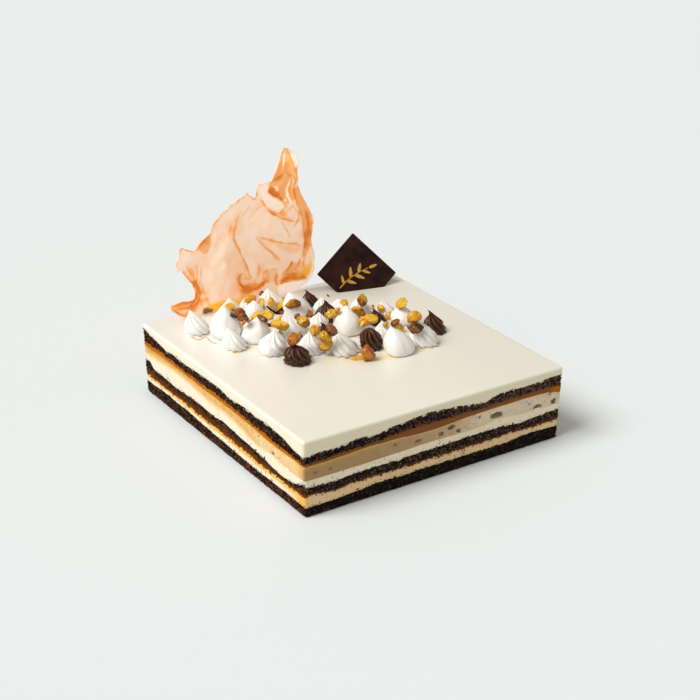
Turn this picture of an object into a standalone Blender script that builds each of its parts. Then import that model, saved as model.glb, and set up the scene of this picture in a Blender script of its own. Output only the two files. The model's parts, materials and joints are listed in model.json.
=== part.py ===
"""Square banoffee layer cake with piped kisses, nuts, a caramel tuile and a chocolate plaque.

Metres, +Z up. The origin is under the middle of the cake, on the surface it stands on.
The cut side that faces -Y is the right-hand side of the front corner, the one that faces
-X is its left-hand side.
"""
import math
import random

import bpy
import bmesh
from mathutils import Matrix, Vector, noise
from mathutils.bvhtree import BVHTree
from mathutils.geometry import delaunay_2d_cdt

MM = 0.001

# Cake body
SIDE = 200 * MM
HEIGHT = 51.4 * MM
HALF = SIDE / 2
CORNER = 1.6 * MM           # a cut corner is almost sharp
LEFT_LEAN = 3.0 * MM        # the left-hand side leans in towards its foot
RIM_STEPS = 19              # rim segments on each side, without the corner
INSET = 14 * MM             # the wavy edge of a seam is this wide, and it is flat inside
GAP = 0.3 * MM              # clearance between touching pieces
CRUMB_LENGTH = 9.0          # the crumb's roughness changes over this far along a seam, in mm
SEAM_DENT = 0.5             # the rim is broken in by up to this much at a seam, in mm

# Seams between the layers, from the bottom up: mean height, crumb roughness, and the long
# waves as (place round the rim, half width, rise), all in millimetres. The place runs from
# the front corner along the right-hand side, and on round the cake, 200 to a side.
SEAMS = {
    "sponge_bottom_top": (8.2, 0.7, [(12, 22, -1.8), (60, 9, 0.8), (156, 4, -1.0), (180, 20, 1.4),
                                     (640, 40, 1.0), (745, 50, -2.0)]),
    "cream_bottom_top": (12.7, 0.3, [(3, 9, 1.5), (22, 7, -1.2), (161, 9, 0.7), (750, 9, -1.0)]),
    "sponge_middle_top": (20.3, 0.7, [(20, 8, -1.5), (127, 12, 0.8), (147, 8, 0.9), (168, 8, -1.4),
                                      (194, 10, 0.9), (600, 12, 2.0), (674, 14, 1.4),
                                      (706, 9, 1.9), (774, 22, -4.2)]),
    "cream_middle_top": (25.2, 0.2, [(36, 30, -1.0), (149, 9, 1.9), (616, 34, 6.8), (665, 34, 7.4),
                                     (715, 24, 5.6), (785, 20, -0.8)]),
    "banana_top": (35.2, 0.3, [(18, 20, -1.2), (91, 24, -1.8), (160, 24, 0.6), (198, 6, -2.0),
                               (613, 9, -1.4), (768, 30, -2.0)]),
    "caramel_top": (37.9, 0.6, [(20, 34, -1.9), (90, 17, 0.9), (169, 16, 1.0), (604, 9, -1.0),
                                (625, 6, 1.4), (770, 34, -2.2)]),
    "sponge_top_top": (44.5, 1.1, [(13, 32, -3.1), (54, 4, -2.0), (88, 11, 2.3), (134, 9, -2.6),
                                   (158, 8, 1.4), (191, 12, 1.6), (603, 11, 2.8), (633, 7, -2.2),
                                   (655, 6, -1.8), (714, 4, -1.4), (730, 3, -2.2), (791, 12, -2.4)]),
}
LAYER_MIN = 0.9             # no layer is thinner than this, in millimetres
# Layers from the bottom up: name, side bands, how deep its side is broken in millimetres
LAYERS = [
    ("sponge_bottom", 2, 0.9),
    ("cream_bottom", 1, 0.3),
    ("sponge_middle", 2, 0.9),
    ("cream_middle", 1, 0.3),
    ("banana_filling", 2, 0.4),
    ("caramel_layer", 1, 0.3),
    ("sponge_top", 2, 0.9),
    ("mousse_top", 1, 0.2),
]
MOUSSE_EDGE = 3.0 * MM      # the mousse's top edge is rounded
MOUSSE_EDGE_STEPS = 3

# Piped kisses: kind, place of the base, base radius, height and lean of the tip, millimetres
KISSES = {
    "meringue_star_01": ("star", (-48.5, 17), 10.5, 15.0, (1, -1)),
    "meringue_star_02": ("star", (-28, 2.5), 9.2, 14.0, (-1, 1)),
    "meringue_star_03": ("star", (-7, -8.5), 10.8, 14.0, (-5, 3)),
    "meringue_star_04": ("star", (-64.5, 34), 8.5, 14.0, (-4, 3)),
    "meringue_star_05": ("star", (45, -24), 10.2, 16.0, (-5, 3.5)),
    "meringue_star_06": ("star", (51, 28), 7.5, 10.0, (-4, 1)),
    "meringue_star_07": ("star", (-43.5, 78), 8.5, 14.0, (-1, 0)),
    "meringue_star_08": ("star", (-13.5, 76), 9.7, 15.0, (-1, 1)),
    "meringue_star_09": ("star", (-27, 82), 6.5, 10.0, (0, 0)),
    "meringue_star_10": ("star", (-22, 29.6), 9.8, 20.0, (-6, 4)),
    "meringue_star_11": ("star", (-2.6, 31), 8.0, 11.8, (0, 0)),
    "meringue_star_12": ("star", (34, 35), 9.0, 13.0, (-2.6, 1.8)),
    "meringue_star_13": ("star", (25, 49), 7.2, 8.5, (-1, 1)),
    "meringue_star_14": ("star", (27, -4), 8.0, 12.0, (-2, 1.5)),
    "meringue_star_15": ("star", (-74.5, 68), 9.0, 15.0, (-4.5, 3)),
    "meringue_star_16": ("star", (16, 56), 5.8, 9.0, (1, 0)),
    "meringue_drop_01": ("drop", (-50, 36), 9.5, 15.7, (1, 0)),
    "meringue_drop_02": ("drop", (21.5, -25.5), 10.0, 17.0, (-5, 3.4)),
    "meringue_drop_03": ("drop", (-62, 53), 10.5, 21.5, (-1.4, 1)),
    "meringue_drop_04": ("drop", (2, 62), 9.5, 14.0, (-5, 3.7)),
    "meringue_drop_05": ("drop", (12, 18), 10.4, 18.0, (-1.3, 0.9)),
    "meringue_drop_06": ("drop", (53, 12), 8.0, 11.8, (-1, 0.7)),
    "meringue_drop_07": ("drop", (-31, 69), 6.8, 12.4, (0, 0)),
    "chocolate_star_01": ("blunt", (-42, -5), 9.6, 11.2, (-1, 1)),
    "chocolate_star_02": ("blunt", (9.5, -12.5), 8.2, 13.6, (-1.5, 1)),
    "chocolate_star_03": ("star", (11, 42), 9.2, 13.5, (-0.6, 0.5)),
    "chocolate_star_04": ("star", (16, 69), 6.7, 10.0, (-3, 2)),
    "chocolate_star_05": ("star", (62.5, -12), 8.6, 14.5, (-3, 3)),
    "chocolate_star_06": ("star", (36.5, 20.5), 7.0, 10.6, (-2.5, 1.8)),
    "chocolate_star_07": ("star", (-5, 16), 6.6, 10.6, (-3.8, 2.7)),
}
KISS_CLEAR = 0.5 * MM       # free space between two kisses' bases
# Share of the base radius at each share of the height
STAR_PROFILE = [(0.0, 0.88), (0.1, 1.0), (0.3, 0.96), (0.5, 0.78), (0.68, 0.53), (0.84, 0.26), (0.94, 0.1)]
DROP_PROFILE = [(0.0, 0.86), (0.12, 1.0), (0.3, 0.97), (0.5, 0.8), (0.68, 0.53), (0.85, 0.24), (0.95, 0.09)]
BLUNT_PROFILE = [(0.0, 0.82), (0.15, 0.98), (0.38, 1.0), (0.62, 0.84), (0.82, 0.54), (0.95, 0.22)]
FLUTES = 8
FLUTE_DEPTH = 0.15          # share of the radius
BLUNT_FLUTE_DEPTH = 0.19
FLUTE_TWIST = math.radians(38)
DROP_SIDES = 14
TIP_BEND = 1.5              # a kiss leans over more and more towards its tip

# Whole nut and caramel pieces, stuck on with syrup: kind, the place on the mousse that each one
# heads for, its length, width and height, its heading and how far its right-hand end is up
PIECES = {
    "nut_01": ("nut", (4.5, 74), (12.5, 6.5, 6.5), -34, 8),
    "nut_02": ("nut", (-22, 62.5), (9, 8, 9), 0, 0),
    "nut_03": ("nut", (-21.5, 47.5), (12, 7, 6.5), -34, -14),
    "nut_04": ("nut", (-5.5, 44.5), (9.5, 7.5, 7.5), -40, -45),
    "nut_05": ("nut", (-7, 28.5), (7.5, 7, 7), 0, 0),
    "nut_06": ("nut", (-13.5, 6), (9, 6.5, 7), -30, 20),
    "nut_07": ("nut", (-7, 16.5), (9, 6.5, 6.5), -45, -10),
    "nut_08": ("nut", (17.5, 45), (9, 6, 6.5), -34, 25),
    "nut_09": ("nut", (49, 54.5), (6.5, 5.5, 9.5), -34, -10),
    "nut_10": ("nut", (36, 40.5), (13, 5, 5), -34, -40),
    "nut_11": ("nut", (33.5, 25), (14.5, 6.5, 6.5), -30, 14),
    "nut_12": ("nut", (68.5, 36), (9, 6, 6.5), -34, 40),
    "nut_13": ("nut", (60.5, 12.5), (10, 7.5, 8), -34, 25),
    "nut_14": ("nut", (44.5, 6), (9.5, 5.5, 5.5), -34, -35),
    "praline_01": ("shard", (-35, 78), (9, 7, 8), -20, 0),
    "praline_02": ("shard", (-36.5, 68.5), (8, 6, 6), -50, -20),
    "praline_03": ("nut", (3, 23.5), (10, 5.5, 6), -34, -50),
    "praline_04": ("shard", (50.5, -1.5), (13, 6, 7), -34, -5),
    "caramel_01": ("glob", (-26, 24.5), (8.5, 7.5, 9), 0, 0),
    "caramel_02": ("shard", (3.5, -16), (11, 8, 11), -34, 20),
}
LUMP_BUMPS = 2.6             # how many bumps lie across a lump
LUMP_ROUGHNESS = {"nut": 0.26, "shard": 0.51, "glob": 0.13, "bit": 0.32}
LAY_SLOPE = Vector((0.52, 0.74, -0.42)).normalized()    # they slide on from the front corner
LAY_FROM = 75 * MM
LAY_STEP = 0.25 * MM

# Small bits stuck to a kiss: kiss, direction in degrees, share of its height, size in millimetres
KISS_BITS = [
    ("meringue_star_08", 180, 0.93, 3.6), ("meringue_star_08", 191, 0.43, 4.5),
    ("meringue_star_08", 243, 0.50, 6.0), ("meringue_star_08", 290, 0.30, 6.5),
    ("meringue_star_08", 20, 0.14, 5.0), ("meringue_star_09", 250, 0.80, 6.5),
    ("meringue_star_07", 244, 0.55, 6.0), ("meringue_drop_07", 312, 0.50, 5.0),
    ("meringue_drop_07", 262, 0.30, 5.5), ("meringue_drop_03", 330, 0.30, 5.0),
    ("meringue_drop_01", 40, 0.30, 5.5), ("meringue_star_10", 140, 0.22, 4.0),
    ("meringue_star_10", 49, 0.50, 4.5), ("meringue_star_10", 100, 0.50, 6.0),
    ("meringue_drop_04", 262, 0.20, 5.5), ("meringue_star_13", 277, 0.60, 5.0),
    ("meringue_star_12", 173, 0.50, 4.5), ("chocolate_star_06", 45, 0.75, 5.0),
    ("chocolate_star_06", 300, 0.50, 5.5), ("chocolate_star_06", 205, 0.55, 5.0),
    ("meringue_star_14", 13, 0.55, 5.5),
]
BIT_REACH = 0.9             # a bit's middle lies at this share of the kiss's radius
BIT_FORM = (1.0, 0.8, 0.7)  # length, width and height as shares of its size
BIT_RAISED = 0.15           # a bit on the mousse has its middle this share of its size above it
# Small bits that lie on the mousse: place and size
MOUSSE_BITS = [
    ((-12.5, -23.5), 6.0), ((34, 71.5), 4.0), ((44.5, 8), 4.0), ((-17, 50), 6.5), ((-12, 45), 6.0),
    ((-19, 62), 7.0), ((-10, 47.5), 5.0), ((-30, 47), 6.5), ((-36, 49), 6.0), ((-41, 50), 5.5),
    ((-24, 66), 5.5), ((-47, 62), 6.0), ((-52, 67), 6.0), ((2, 47), 5.5), ((24, 39), 5.5),
    ((30, 9), 5.5), ((43, 2), 5.5), ((39, -8), 6.0), ((-58, 39), 5.0), ((-34, 14), 5.5),
]

# Chocolate plaque: a square on its corner, pushed into the mousse and leaning back
PLAQUE_SIDE = 42.5 * MM
PLAQUE_THICK = 2.4 * MM
PLAQUE_BEVEL = 0.5 * MM
PLAQUE_CENTRE = Vector((62.5, 81.0, 60.6)) * MM
PLAQUE_YAW = math.radians(-12)
PLAQUE_LEAN = math.radians(36)
PLAQUE_ROLL = math.radians(-6)
PLAQUE_SUNK = 3.4 * MM      # depth of its cut corner in the mousse

# Caramel tuile: a thin crumpled sheet that stands on the mousse behind the kisses
TUILE_THICK = 0.8 * MM
TUILE_DEPTH = 93.0 * MM     # the sheet's mean distance behind the middle of the cake
TUILE_GRID = 7.5 * MM
# Its outline from the tip of the peak, clockwise from the front: across, and height on the cake
TUILE_OUTLINE = [
    (7, 107), (18, 98), (17, 90), (18, 78), (25, 65), (32, 53), (28.5, 38), (33, 25), (32, 13), (22, 7),
    (8, 0.3), (-18, 0.3), (-40, 0.3), (-60, 0.3), (-71, 0.5), (-79, 2.5), (-85, 8), (-86, 12), (-78, 14),
    (-67, 14), (-65, 20), (-73, 31),
    (-79, 40), (-75, 51), (-64, 46), (-52, 56), (-50, 65), (-39, 71), (-25, 80), (-17, 76), (-15, 83),
    (-4, 88), (0, 97), (2, 104),
]
# Its folds: middle across and up, heading in degrees, half length, half width and depth
TUILE_FOLDS = [
    ((-38, 38), 75, 34, 6, -2.6), ((-5, 30), 35, 26, 7, 2.8), ((-2, 52), -20, 22, 7, -2.6),
    ((26, 45), 80, 40, 4, 3.2), ((8, 84), 80, 22, 5, 3.0), ((-62, 24), 70, 26, 5, 2.6),
    ((-24, 8), 10, 28, 9, 2.0),
]
TUILE_SWAY = 2.2 * MM
TUILE_SWAY_TURNS = (55, 40)         # radians of sway for each metre across and up
TUILE_SWAY_START = 0.6
TUILE_EDGE_CLEAR = 0.4              # no grid point lies nearer the edge than this share of the grid
TUILE_LOBE = ((-80, 6), 14, -4.0)   # the left-hand foot curls forward: middle, reach, depth

SEED = 7


def clear_scene():
    for old in list(bpy.data.objects):
        bpy.data.objects.remove(old, do_unlink=True)


def finish(name, color, roughness, metallic=0.0):
    material = bpy.data.materials.new(name)
    material.use_nodes = True
    shader = material.node_tree.nodes["Principled BSDF"]
    shader.inputs["Base Color"].default_value = (*color, 1.0)
    shader.inputs["Roughness"].default_value = roughness
    shader.inputs["Metallic"].default_value = metallic
    return material


def make_finishes():
    return {
        "sponge": finish("chocolate_sponge", (0.035, 0.018, 0.012), 0.85),
        "cream": finish("whipped_cream", (0.83, 0.76, 0.62), 0.5),
        "banana": finish("banana_custard", (0.68, 0.52, 0.28), 0.5),
        "caramel": finish("soft_caramel", (0.62, 0.28, 0.05), 0.3),
        "mousse": finish("white_mousse", (0.88, 0.84, 0.74), 0.25),
        "meringue": finish("meringue", (0.92, 0.91, 0.88), 0.6),
        "chocolate": finish("dark_chocolate", (0.07, 0.03, 0.02), 0.35),
        "nut": finish("roasted_nut", (0.62, 0.38, 0.08), 0.5),
        "praline": finish("brown_praline", (0.22, 0.07, 0.02), 0.35),
        "shard": finish("clear_caramel", (0.6, 0.2, 0.02), 0.15),
        "tuile": finish("caramel_tuile", (0.85, 0.5, 0.3), 0.3),
    }


def mesh_object(name, points, faces, material, smooth=False):
    mesh = bpy.data.meshes.new(name)
    mesh.from_pydata([tuple(p) for p in points], [], faces)
    mesh.validate()
    if smooth:
        mesh.shade_smooth()
    piece = bpy.data.objects.new(name, mesh)
    bpy.context.collection.objects.link(piece)
    piece.data.materials.append(material)
    return piece


def tree_of(piece):
    corners = [piece.matrix_world @ v.co for v in piece.data.vertices]
    return BVHTree.FromPolygons(corners, [tuple(f.vertices) for f in piece.data.polygons])


# ---- cake body ----

def rim_places():
    """Places round the rim: x, y, outward direction, and distance along it in millimetres."""
    places = []
    flat = SIDE - 2 * CORNER
    for side in range(4):
        turn = Matrix.Rotation(side * math.pi / 2, 3, "Z")
        for i in range(RIM_STEPS + 1):
            along = -HALF + CORNER + flat * i / RIM_STEPS
            place = turn @ Vector((along, -HALF, 0))
            out = turn @ Vector((0, -1, 0))
            distance = side * SIDE + along + HALF
            places.append((place, out, distance / MM))
    return places


def seam_height(name, distance):
    mean, rough, waves = SEAMS[name]
    height = mean
    around = 4 * SIDE / MM
    for place, width, rise in waves:
        apart = abs(distance - place)
        apart = min(apart, around - apart)
        height += rise * math.exp(-(apart / width) ** 2)
    phase = len(name)
    return height + rough * noise.noise(Vector((distance / CRUMB_LENGTH, phase, 0.5)))


def seam_rings(places):
    """Heights of every seam round the rim, kept apart by the thinnest layer."""
    flat_bottom = [0.0 for _ in places]
    rings = [flat_bottom]
    for name in SEAMS:
        heights = [seam_height(name, distance) for _, _, distance in places]
        below = rings[-1]
        rings.append([max(h, low + LAYER_MIN) for h, low in zip(heights, below)])
    return rings


def lean(point):
    """The left-hand side leans in towards the foot."""
    share = max(0.0, -point.x / HALF) ** 2
    foot = max(0.0, 1 - point.z / (HEIGHT - MOUSSE_EDGE))
    return Vector((point.x + LEFT_LEAN * share * foot, point.y, point.z))


def rim_ring(places, heights, dents):
    ring = []
    for (place, out, _), height, dent in zip(places, heights, dents):
        point = place - out * dent * MM
        ring.append(lean(Vector((point.x, point.y, height * MM))))
    return ring


def inner_ring(height):
    """Eight points of the flat inside of a seam, each opposite a tenth of the rim."""
    reach = HALF - INSET
    ring = []
    for side in range(4):
        turn = Matrix.Rotation(side * math.pi / 2, 3, "Z")
        for along in (-reach, 0.0):
            flat = turn @ Vector((along, -reach, 0))
            ring.append(lean(Vector((flat.x, flat.y, height))))
    return ring


def cap_faces(rim, inner, up):
    """The wavy edge of a seam and its flat inside, as faces between two index lists."""
    faces = []
    each = len(rim) // len(inner)
    count = len(rim)
    shift = each // 2
    for k, hub in enumerate(inner):
        start = k * each - shift
        for i in range(each):
            faces.append((rim[(start + i) % count], rim[(start + i + 1) % count], hub))
        faces.append((rim[(start + each) % count], inner[(k + 1) % len(inner)], hub))
    faces.append(tuple(inner))
    if not up:
        faces = [tuple(reversed(f)) for f in faces]
    return faces


def band_faces(low, high):
    count = len(low)
    return [(low[i], low[(i + 1) % count], high[(i + 1) % count], high[i]) for i in range(count)]


def seam_dents(places, order):
    """How far the rim is broken in at a seam, the same for the layers on both sides of it."""
    draw = random.Random(SEED + 31 * order)
    return [draw.uniform(0.0, SEAM_DENT) for _ in places]


def layer_rings(order, places, rings, bands, depth):
    """Rim rings of one layer, from its bottom to its top."""
    draw = random.Random(SEED + order)
    low = [h + (GAP / MM if order else 0.0) for h in rings[order]]
    made = [rim_ring(places, low, seam_dents(places, order))]
    if order == len(LAYERS) - 1:
        return made + mousse_edge(places)
    high = rings[order + 1]
    for band in range(1, bands):
        share = band / bands
        middle = [a + (b - a) * share for a, b in zip(low, high)]
        dents = [draw.uniform(0.0, depth) * (i % 3 != 0) for i in range(len(places))]
        made.append(rim_ring(places, middle, dents))
    made.append(rim_ring(places, high, seam_dents(places, order + 1)))
    return made


def mousse_edge(places):
    """The mousse's upright side and its rounded top edge."""
    made = []
    for step in range(MOUSSE_EDGE_STEPS + 1):
        angle = math.pi / 2 * step / MOUSSE_EDGE_STEPS
        height = HEIGHT - MOUSSE_EDGE * (1 - math.sin(angle))
        inset = MOUSSE_EDGE * (1 - math.cos(angle))
        ring = []
        for place, _, _ in places:
            x = math.copysign(min(abs(place.x), HALF - inset), place.x)
            y = math.copysign(min(abs(place.y), HALF - inset), place.y)
            ring.append(lean(Vector((x, y, height))))
        made.append(ring)
    return made


def mean_of(ring):
    return sum(ring) / len(ring) * MM


def make_layers(finishes):
    places = rim_places()
    rings = seam_rings(places)
    slots = ["sponge", "cream", "sponge", "cream", "banana", "caramel", "sponge", "mousse"]
    made = {}
    for order, (name, bands, depth) in enumerate(LAYERS):
        sides = layer_rings(order, places, rings, bands, depth)
        points = []
        indices = []
        for ring in sides:
            indices.append(list(range(len(points), len(points) + len(ring))))
            points += ring
        lowest = mean_of(rings[order]) + (GAP if order else 0.0)
        highest = HEIGHT if order == len(LAYERS) - 1 else mean_of(rings[order + 1])
        hubs = []
        for height in (lowest, highest):
            hubs.append(list(range(len(points), len(points) + 8)))
            points += inner_ring(height)
        faces = cap_faces(indices[0], hubs[0], up=False) + cap_faces(indices[-1], hubs[1], up=True)
        for low, high in zip(indices, indices[1:]):
            faces += band_faces(low, high)
        made[name] = mesh_object(name, points, faces, finishes[slots[order]])
    return made


# ---- piped kisses ----

def spread_kisses():
    """Base places in metres, pushed apart in pairs until every two kisses are clear."""
    names = list(KISSES)
    places = {name: Vector(KISSES[name][1]) * MM for name in names}
    radii = {name: KISSES[name][2] * MM for name in names}
    for _ in range(200):
        for i, one in enumerate(names):
            for other in names[i + 1:]:
                apart = places[other] - places[one]
                need = radii[one] + radii[other] + KISS_CLEAR - apart.length
                if need > 0:
                    push = apart.normalized() * need / 2
                    places[one] = places[one] - push
                    places[other] = places[other] + push
    return places


def profile_of(kind):
    return {"star": STAR_PROFILE, "drop": DROP_PROFILE, "blunt": BLUNT_PROFILE}[kind]


def profile_radius(kind, share):
    profile = profile_of(kind) + [(1.0, 0.0)]
    for (low, a), (high, b) in zip(profile, profile[1:]):
        if share <= high:
            return a + (b - a) * (share - low) / (high - low)
    return 0.0


def kiss_axis(name, place, share):
    """Middle of a kiss at a share of its height."""
    height, tip = KISSES[name][3], KISSES[name][4]
    bend = share ** TIP_BEND
    up = HEIGHT + GAP + height * share * MM
    return Vector((place.x + tip[0] * bend * MM, place.y + tip[1] * bend * MM, up))


def make_kiss(name, place, material):
    kind, _, radius, _, _ = KISSES[name]
    draw = random.Random(SEED + sum(map(ord, name)))
    start = draw.uniform(0, 2 * math.pi)
    sides = DROP_SIDES if kind == "drop" else 2 * FLUTES
    groove = BLUNT_FLUTE_DEPTH if kind == "blunt" else FLUTE_DEPTH
    points = []
    for share, width in profile_of(kind):
        middle = kiss_axis(name, place, share)
        for i in range(sides):
            angle = start + 2 * math.pi * i / sides
            reach = radius * width * MM
            if kind != "drop":
                angle += FLUTE_TWIST * share
                reach *= 1 - groove * (i % 2)
            points.append(middle + Vector((math.cos(angle), math.sin(angle), 0)) * reach)
    rings = len(profile_of(kind))
    points.append(kiss_axis(name, place, 1.0))
    faces = [tuple(reversed(range(sides)))]
    for ring in range(rings - 1):
        low = list(range(ring * sides, ring * sides + sides))
        high = [i + sides for i in low]
        faces += band_faces(low, high)
    last = (rings - 1) * sides
    faces += [(last + i, last + (i + 1) % sides, len(points) - 1) for i in range(sides)]
    return mesh_object(name, points, faces, material, smooth=True)


# ---- nuts, praline and caramel ----

def lump_mesh(size, heading, kind, seed, detail, roll=0.0):
    """A rough lump round the origin: its points and faces."""
    lump = bmesh.new()
    bmesh.ops.create_icosphere(lump, subdivisions=detail, radius=0.5)
    for corner in lump.verts:
        bump = noise.noise(corner.co * LUMP_BUMPS + Vector((seed * SEED / 2, 0, 0)))
        corner.co *= 1 + LUMP_ROUGHNESS[kind] * bump
        corner.co = Vector((corner.co.x * size[0], corner.co.y * size[1], corner.co.z * size[2])) * MM
    turn = Matrix.Rotation(math.radians(heading), 3, "Z") @ Matrix.Rotation(math.radians(-roll), 3, "Y")
    bmesh.ops.rotate(lump, verts=lump.verts, matrix=turn)
    bmesh.ops.triangulate(lump, faces=lump.faces)
    points = [v.co.copy() for v in lump.verts]
    faces = [tuple(v.index for v in f.verts) for f in lump.faces]
    lump.free()
    return points, faces


def settle(points, faces, place, trees):
    """Slide a lump down its slope until the next step would bring it within the gap."""
    grown = 1 + GAP * 1.3 / min(p.length for p in points)
    lowest = min(p.z for p in points)
    ground = Vector((place.x, place.y, HEIGHT))
    back = LAY_FROM
    while back > 0:
        trial = ground - LAY_SLOPE * (back - LAY_STEP)
        body = BVHTree.FromPolygons([p * grown + trial for p in points], faces)
        if trial.z + lowest < HEIGHT + GAP or any(body.overlap(tree) for tree in trees):
            break
        back -= LAY_STEP
    return ground - LAY_SLOPE * back


def make_pieces(finishes, trees):
    made = {}
    for order, (name, (kind, place, size, heading, roll)) in enumerate(PIECES.items()):
        points, faces = lump_mesh(size, heading, kind, order, detail=2, roll=roll)
        middle = settle(points, faces, Vector(place) * MM, trees)
        slot = {"nut": "nut", "praline": "praline", "caramel": "shard"}[name.split("_")[0]]
        made[name] = mesh_object(name, [p + middle for p in points], faces, finishes[slot])
        trees.append(tree_of(made[name]))
    return made


def bit_on_kiss(name, place, direction, share):
    """Middle of a bit that is stuck to a kiss's flank."""
    kind, _, radius, _, _ = KISSES[name]
    turn = math.radians(direction)
    reach = profile_radius(kind, share) * radius * BIT_REACH * MM
    return kiss_axis(name, place, share) + Vector((math.cos(turn), math.sin(turn), 0)) * reach


def is_clear(points, faces, others):
    body = BVHTree.FromPolygons(points, faces)
    return not any(body.overlap(tree) for tree in others)


def fuse(host, bits):
    """Join the bits to their host by one union."""
    group = bpy.data.collections.new(host.name + "_bits")
    for bit in bits:
        bpy.context.collection.objects.unlink(bit)
        group.objects.link(bit)
    union = host.modifiers.new("bits", "BOOLEAN")
    union.operation = "UNION"
    union.operand_type = "COLLECTION"
    union.collection = group
    union.solver = "EXACT"
    apply_modifiers(host)
    for bit in bits:
        bpy.data.objects.remove(bit, do_unlink=True)
    bpy.data.collections.remove(group)


def apply_modifiers(piece):
    """Replace an object's mesh by its evaluated one."""
    bpy.context.view_layer.update()
    depsgraph = bpy.context.evaluated_depsgraph_get()
    mesh = bpy.data.meshes.new_from_object(piece.evaluated_get(depsgraph))
    piece.modifiers.clear()
    piece.data = mesh


def wanted_bits(places):
    """Host, middle and size of every small bit, on the kisses and on the mousse."""
    wanted = [(host, bit_on_kiss(host, places[host], direction, share), size)
              for host, direction, share, size in KISS_BITS]
    for (x, y), size in MOUSSE_BITS:
        middle = Vector((x * MM, y * MM, HEIGHT + BIT_RAISED * size * MM))
        wanted.append(("mousse_top", middle, size))
    return wanted


def fuse_bits(kisses, places, pieces, mousse, finishes):
    trees = {name: tree_of(piece) for name, piece in {**kisses, **pieces}.items()}
    bits = {}
    draw = random.Random(SEED)
    for order, (host, middle, size) in enumerate(wanted_bits(places)):
        heading = draw.uniform(0, 360)
        form = [size * share for share in BIT_FORM]
        points, faces = lump_mesh(form, heading, "bit", order, detail=1)
        grow = 1 + 2 * GAP / (min(form) * MM)
        others = [tree for name, tree in trees.items() if name != host]
        if is_clear([middle + p * grow for p in points], faces, others):
            bit = mesh_object("bit", [middle + p for p in points], faces, finishes["nut"])
            bits.setdefault(host, []).append(bit)
            trees["bit_%d" % order] = tree_of(bit)
    hosts = {**kisses, "mousse_top": mousse}
    for host, group in bits.items():
        fuse(hosts[host], group)


# ---- chocolate plaque ----

def plaque_frame():
    """Axes of the plaque: along one diagonal, along the other, and out of its face."""
    out = Vector((math.sin(PLAQUE_YAW), -math.cos(PLAQUE_YAW), 0))
    across = Vector((math.cos(PLAQUE_YAW), math.sin(PLAQUE_YAW), 0))
    up = math.cos(PLAQUE_LEAN) * Vector((0, 0, 1)) - math.sin(PLAQUE_LEAN) * out
    right = math.cos(PLAQUE_ROLL) * across + math.sin(PLAQUE_ROLL) * up
    rise = -math.sin(PLAQUE_ROLL) * across + math.cos(PLAQUE_ROLL) * up
    return right, rise, right.cross(rise)


def plaque_solid(name, grow, foot, material):
    """The square plate, grown by a clearance, and cut off level at the height of its foot."""
    right, rise, face = plaque_frame()
    plate = bmesh.new()
    bmesh.ops.create_cube(plate, size=1.0)
    side = PLAQUE_SIDE + 2 * grow
    thick = PLAQUE_THICK + 2 * grow
    for corner in plate.verts:
        a, b, c = corner.co.x * side, corner.co.y * side, corner.co.z * thick
        along, up = (a + b) / math.sqrt(2), (b - a) / math.sqrt(2)
        corner.co = PLAQUE_CENTRE + right * along + rise * up + face * c
    if grow == 0:
        bmesh.ops.bevel(plate, geom=plate.edges[:], offset=PLAQUE_BEVEL, segments=1, affect="EDGES")
    cut = bmesh.ops.bisect_plane(plate, geom=plate.verts[:] + plate.edges[:] + plate.faces[:],
                                 plane_co=(0, 0, foot), plane_no=(0, 0, -1), clear_outer=True)
    rim = [e for e in cut["geom_cut"] if isinstance(e, bmesh.types.BMEdge)]
    bmesh.ops.contextual_create(plate, geom=rim)
    bmesh.ops.recalc_face_normals(plate, faces=plate.faces)
    mesh = bpy.data.meshes.new(name)
    plate.to_mesh(mesh)
    plate.free()
    piece = bpy.data.objects.new(name, mesh)
    bpy.context.collection.objects.link(piece)
    piece.data.materials.append(material)
    return piece


def make_plaque(finishes, mousse):
    foot = HEIGHT - PLAQUE_SUNK
    plaque_solid("chocolate_plaque", 0.0, foot, finishes["chocolate"])
    slot = plaque_solid("plaque_slot", GAP, foot - GAP, finishes["mousse"])
    cut = mousse.modifiers.new("slot", "BOOLEAN")
    cut.operation = "DIFFERENCE"
    cut.object = slot
    cut.solver = "EXACT"
    apply_modifiers(mousse)
    bpy.data.objects.remove(slot, do_unlink=True)


# ---- caramel tuile ----

def tuile_depth(x, z):
    """Depth of the crumpled sheet at a place across it and up it, in metres."""
    across_turn, up_turn = TUILE_SWAY_TURNS
    sway = math.sin(x * across_turn + TUILE_SWAY_START) * math.cos(z * up_turn)
    depth = TUILE_DEPTH + TUILE_SWAY * sway
    for (fold_x, fold_z), heading, length, width, rise in TUILE_FOLDS:
        turn = math.radians(heading)
        dx, dz = x / MM - fold_x, z / MM - fold_z
        along = dx * math.cos(turn) + dz * math.sin(turn)
        across = -dx * math.sin(turn) + dz * math.cos(turn)
        depth += rise * MM * math.exp(-(along / length) ** 2 - (across / width) ** 2)
    (lobe_x, lobe_z), reach, rise = TUILE_LOBE
    apart = math.hypot(x / MM - lobe_x, z / MM - lobe_z)
    return depth + rise * MM * math.exp(-(apart / reach) ** 2)


def inside(point, outline):
    """True where a place is inside an outline, by the crossings of a line to its right."""
    crossings = 0
    for (ax, ay), (bx, by) in zip(outline, outline[1:] + outline[:1]):
        if (ay > point[1]) != (by > point[1]):
            if point[0] < ax + (bx - ax) * (point[1] - ay) / (by - ay):
                crossings += 1
    return crossings % 2 == 1


def edge_distance(point, outline):
    best = 1.0
    for a, b in zip(outline, outline[1:] + outline[:1]):
        a, b, p = Vector(a), Vector(b), Vector(point)
        along = b - a
        share = max(0.0, min(1.0, (p - a).dot(along) / along.length_squared))
        best = min(best, (p - a - along * share).length)
    return best


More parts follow.
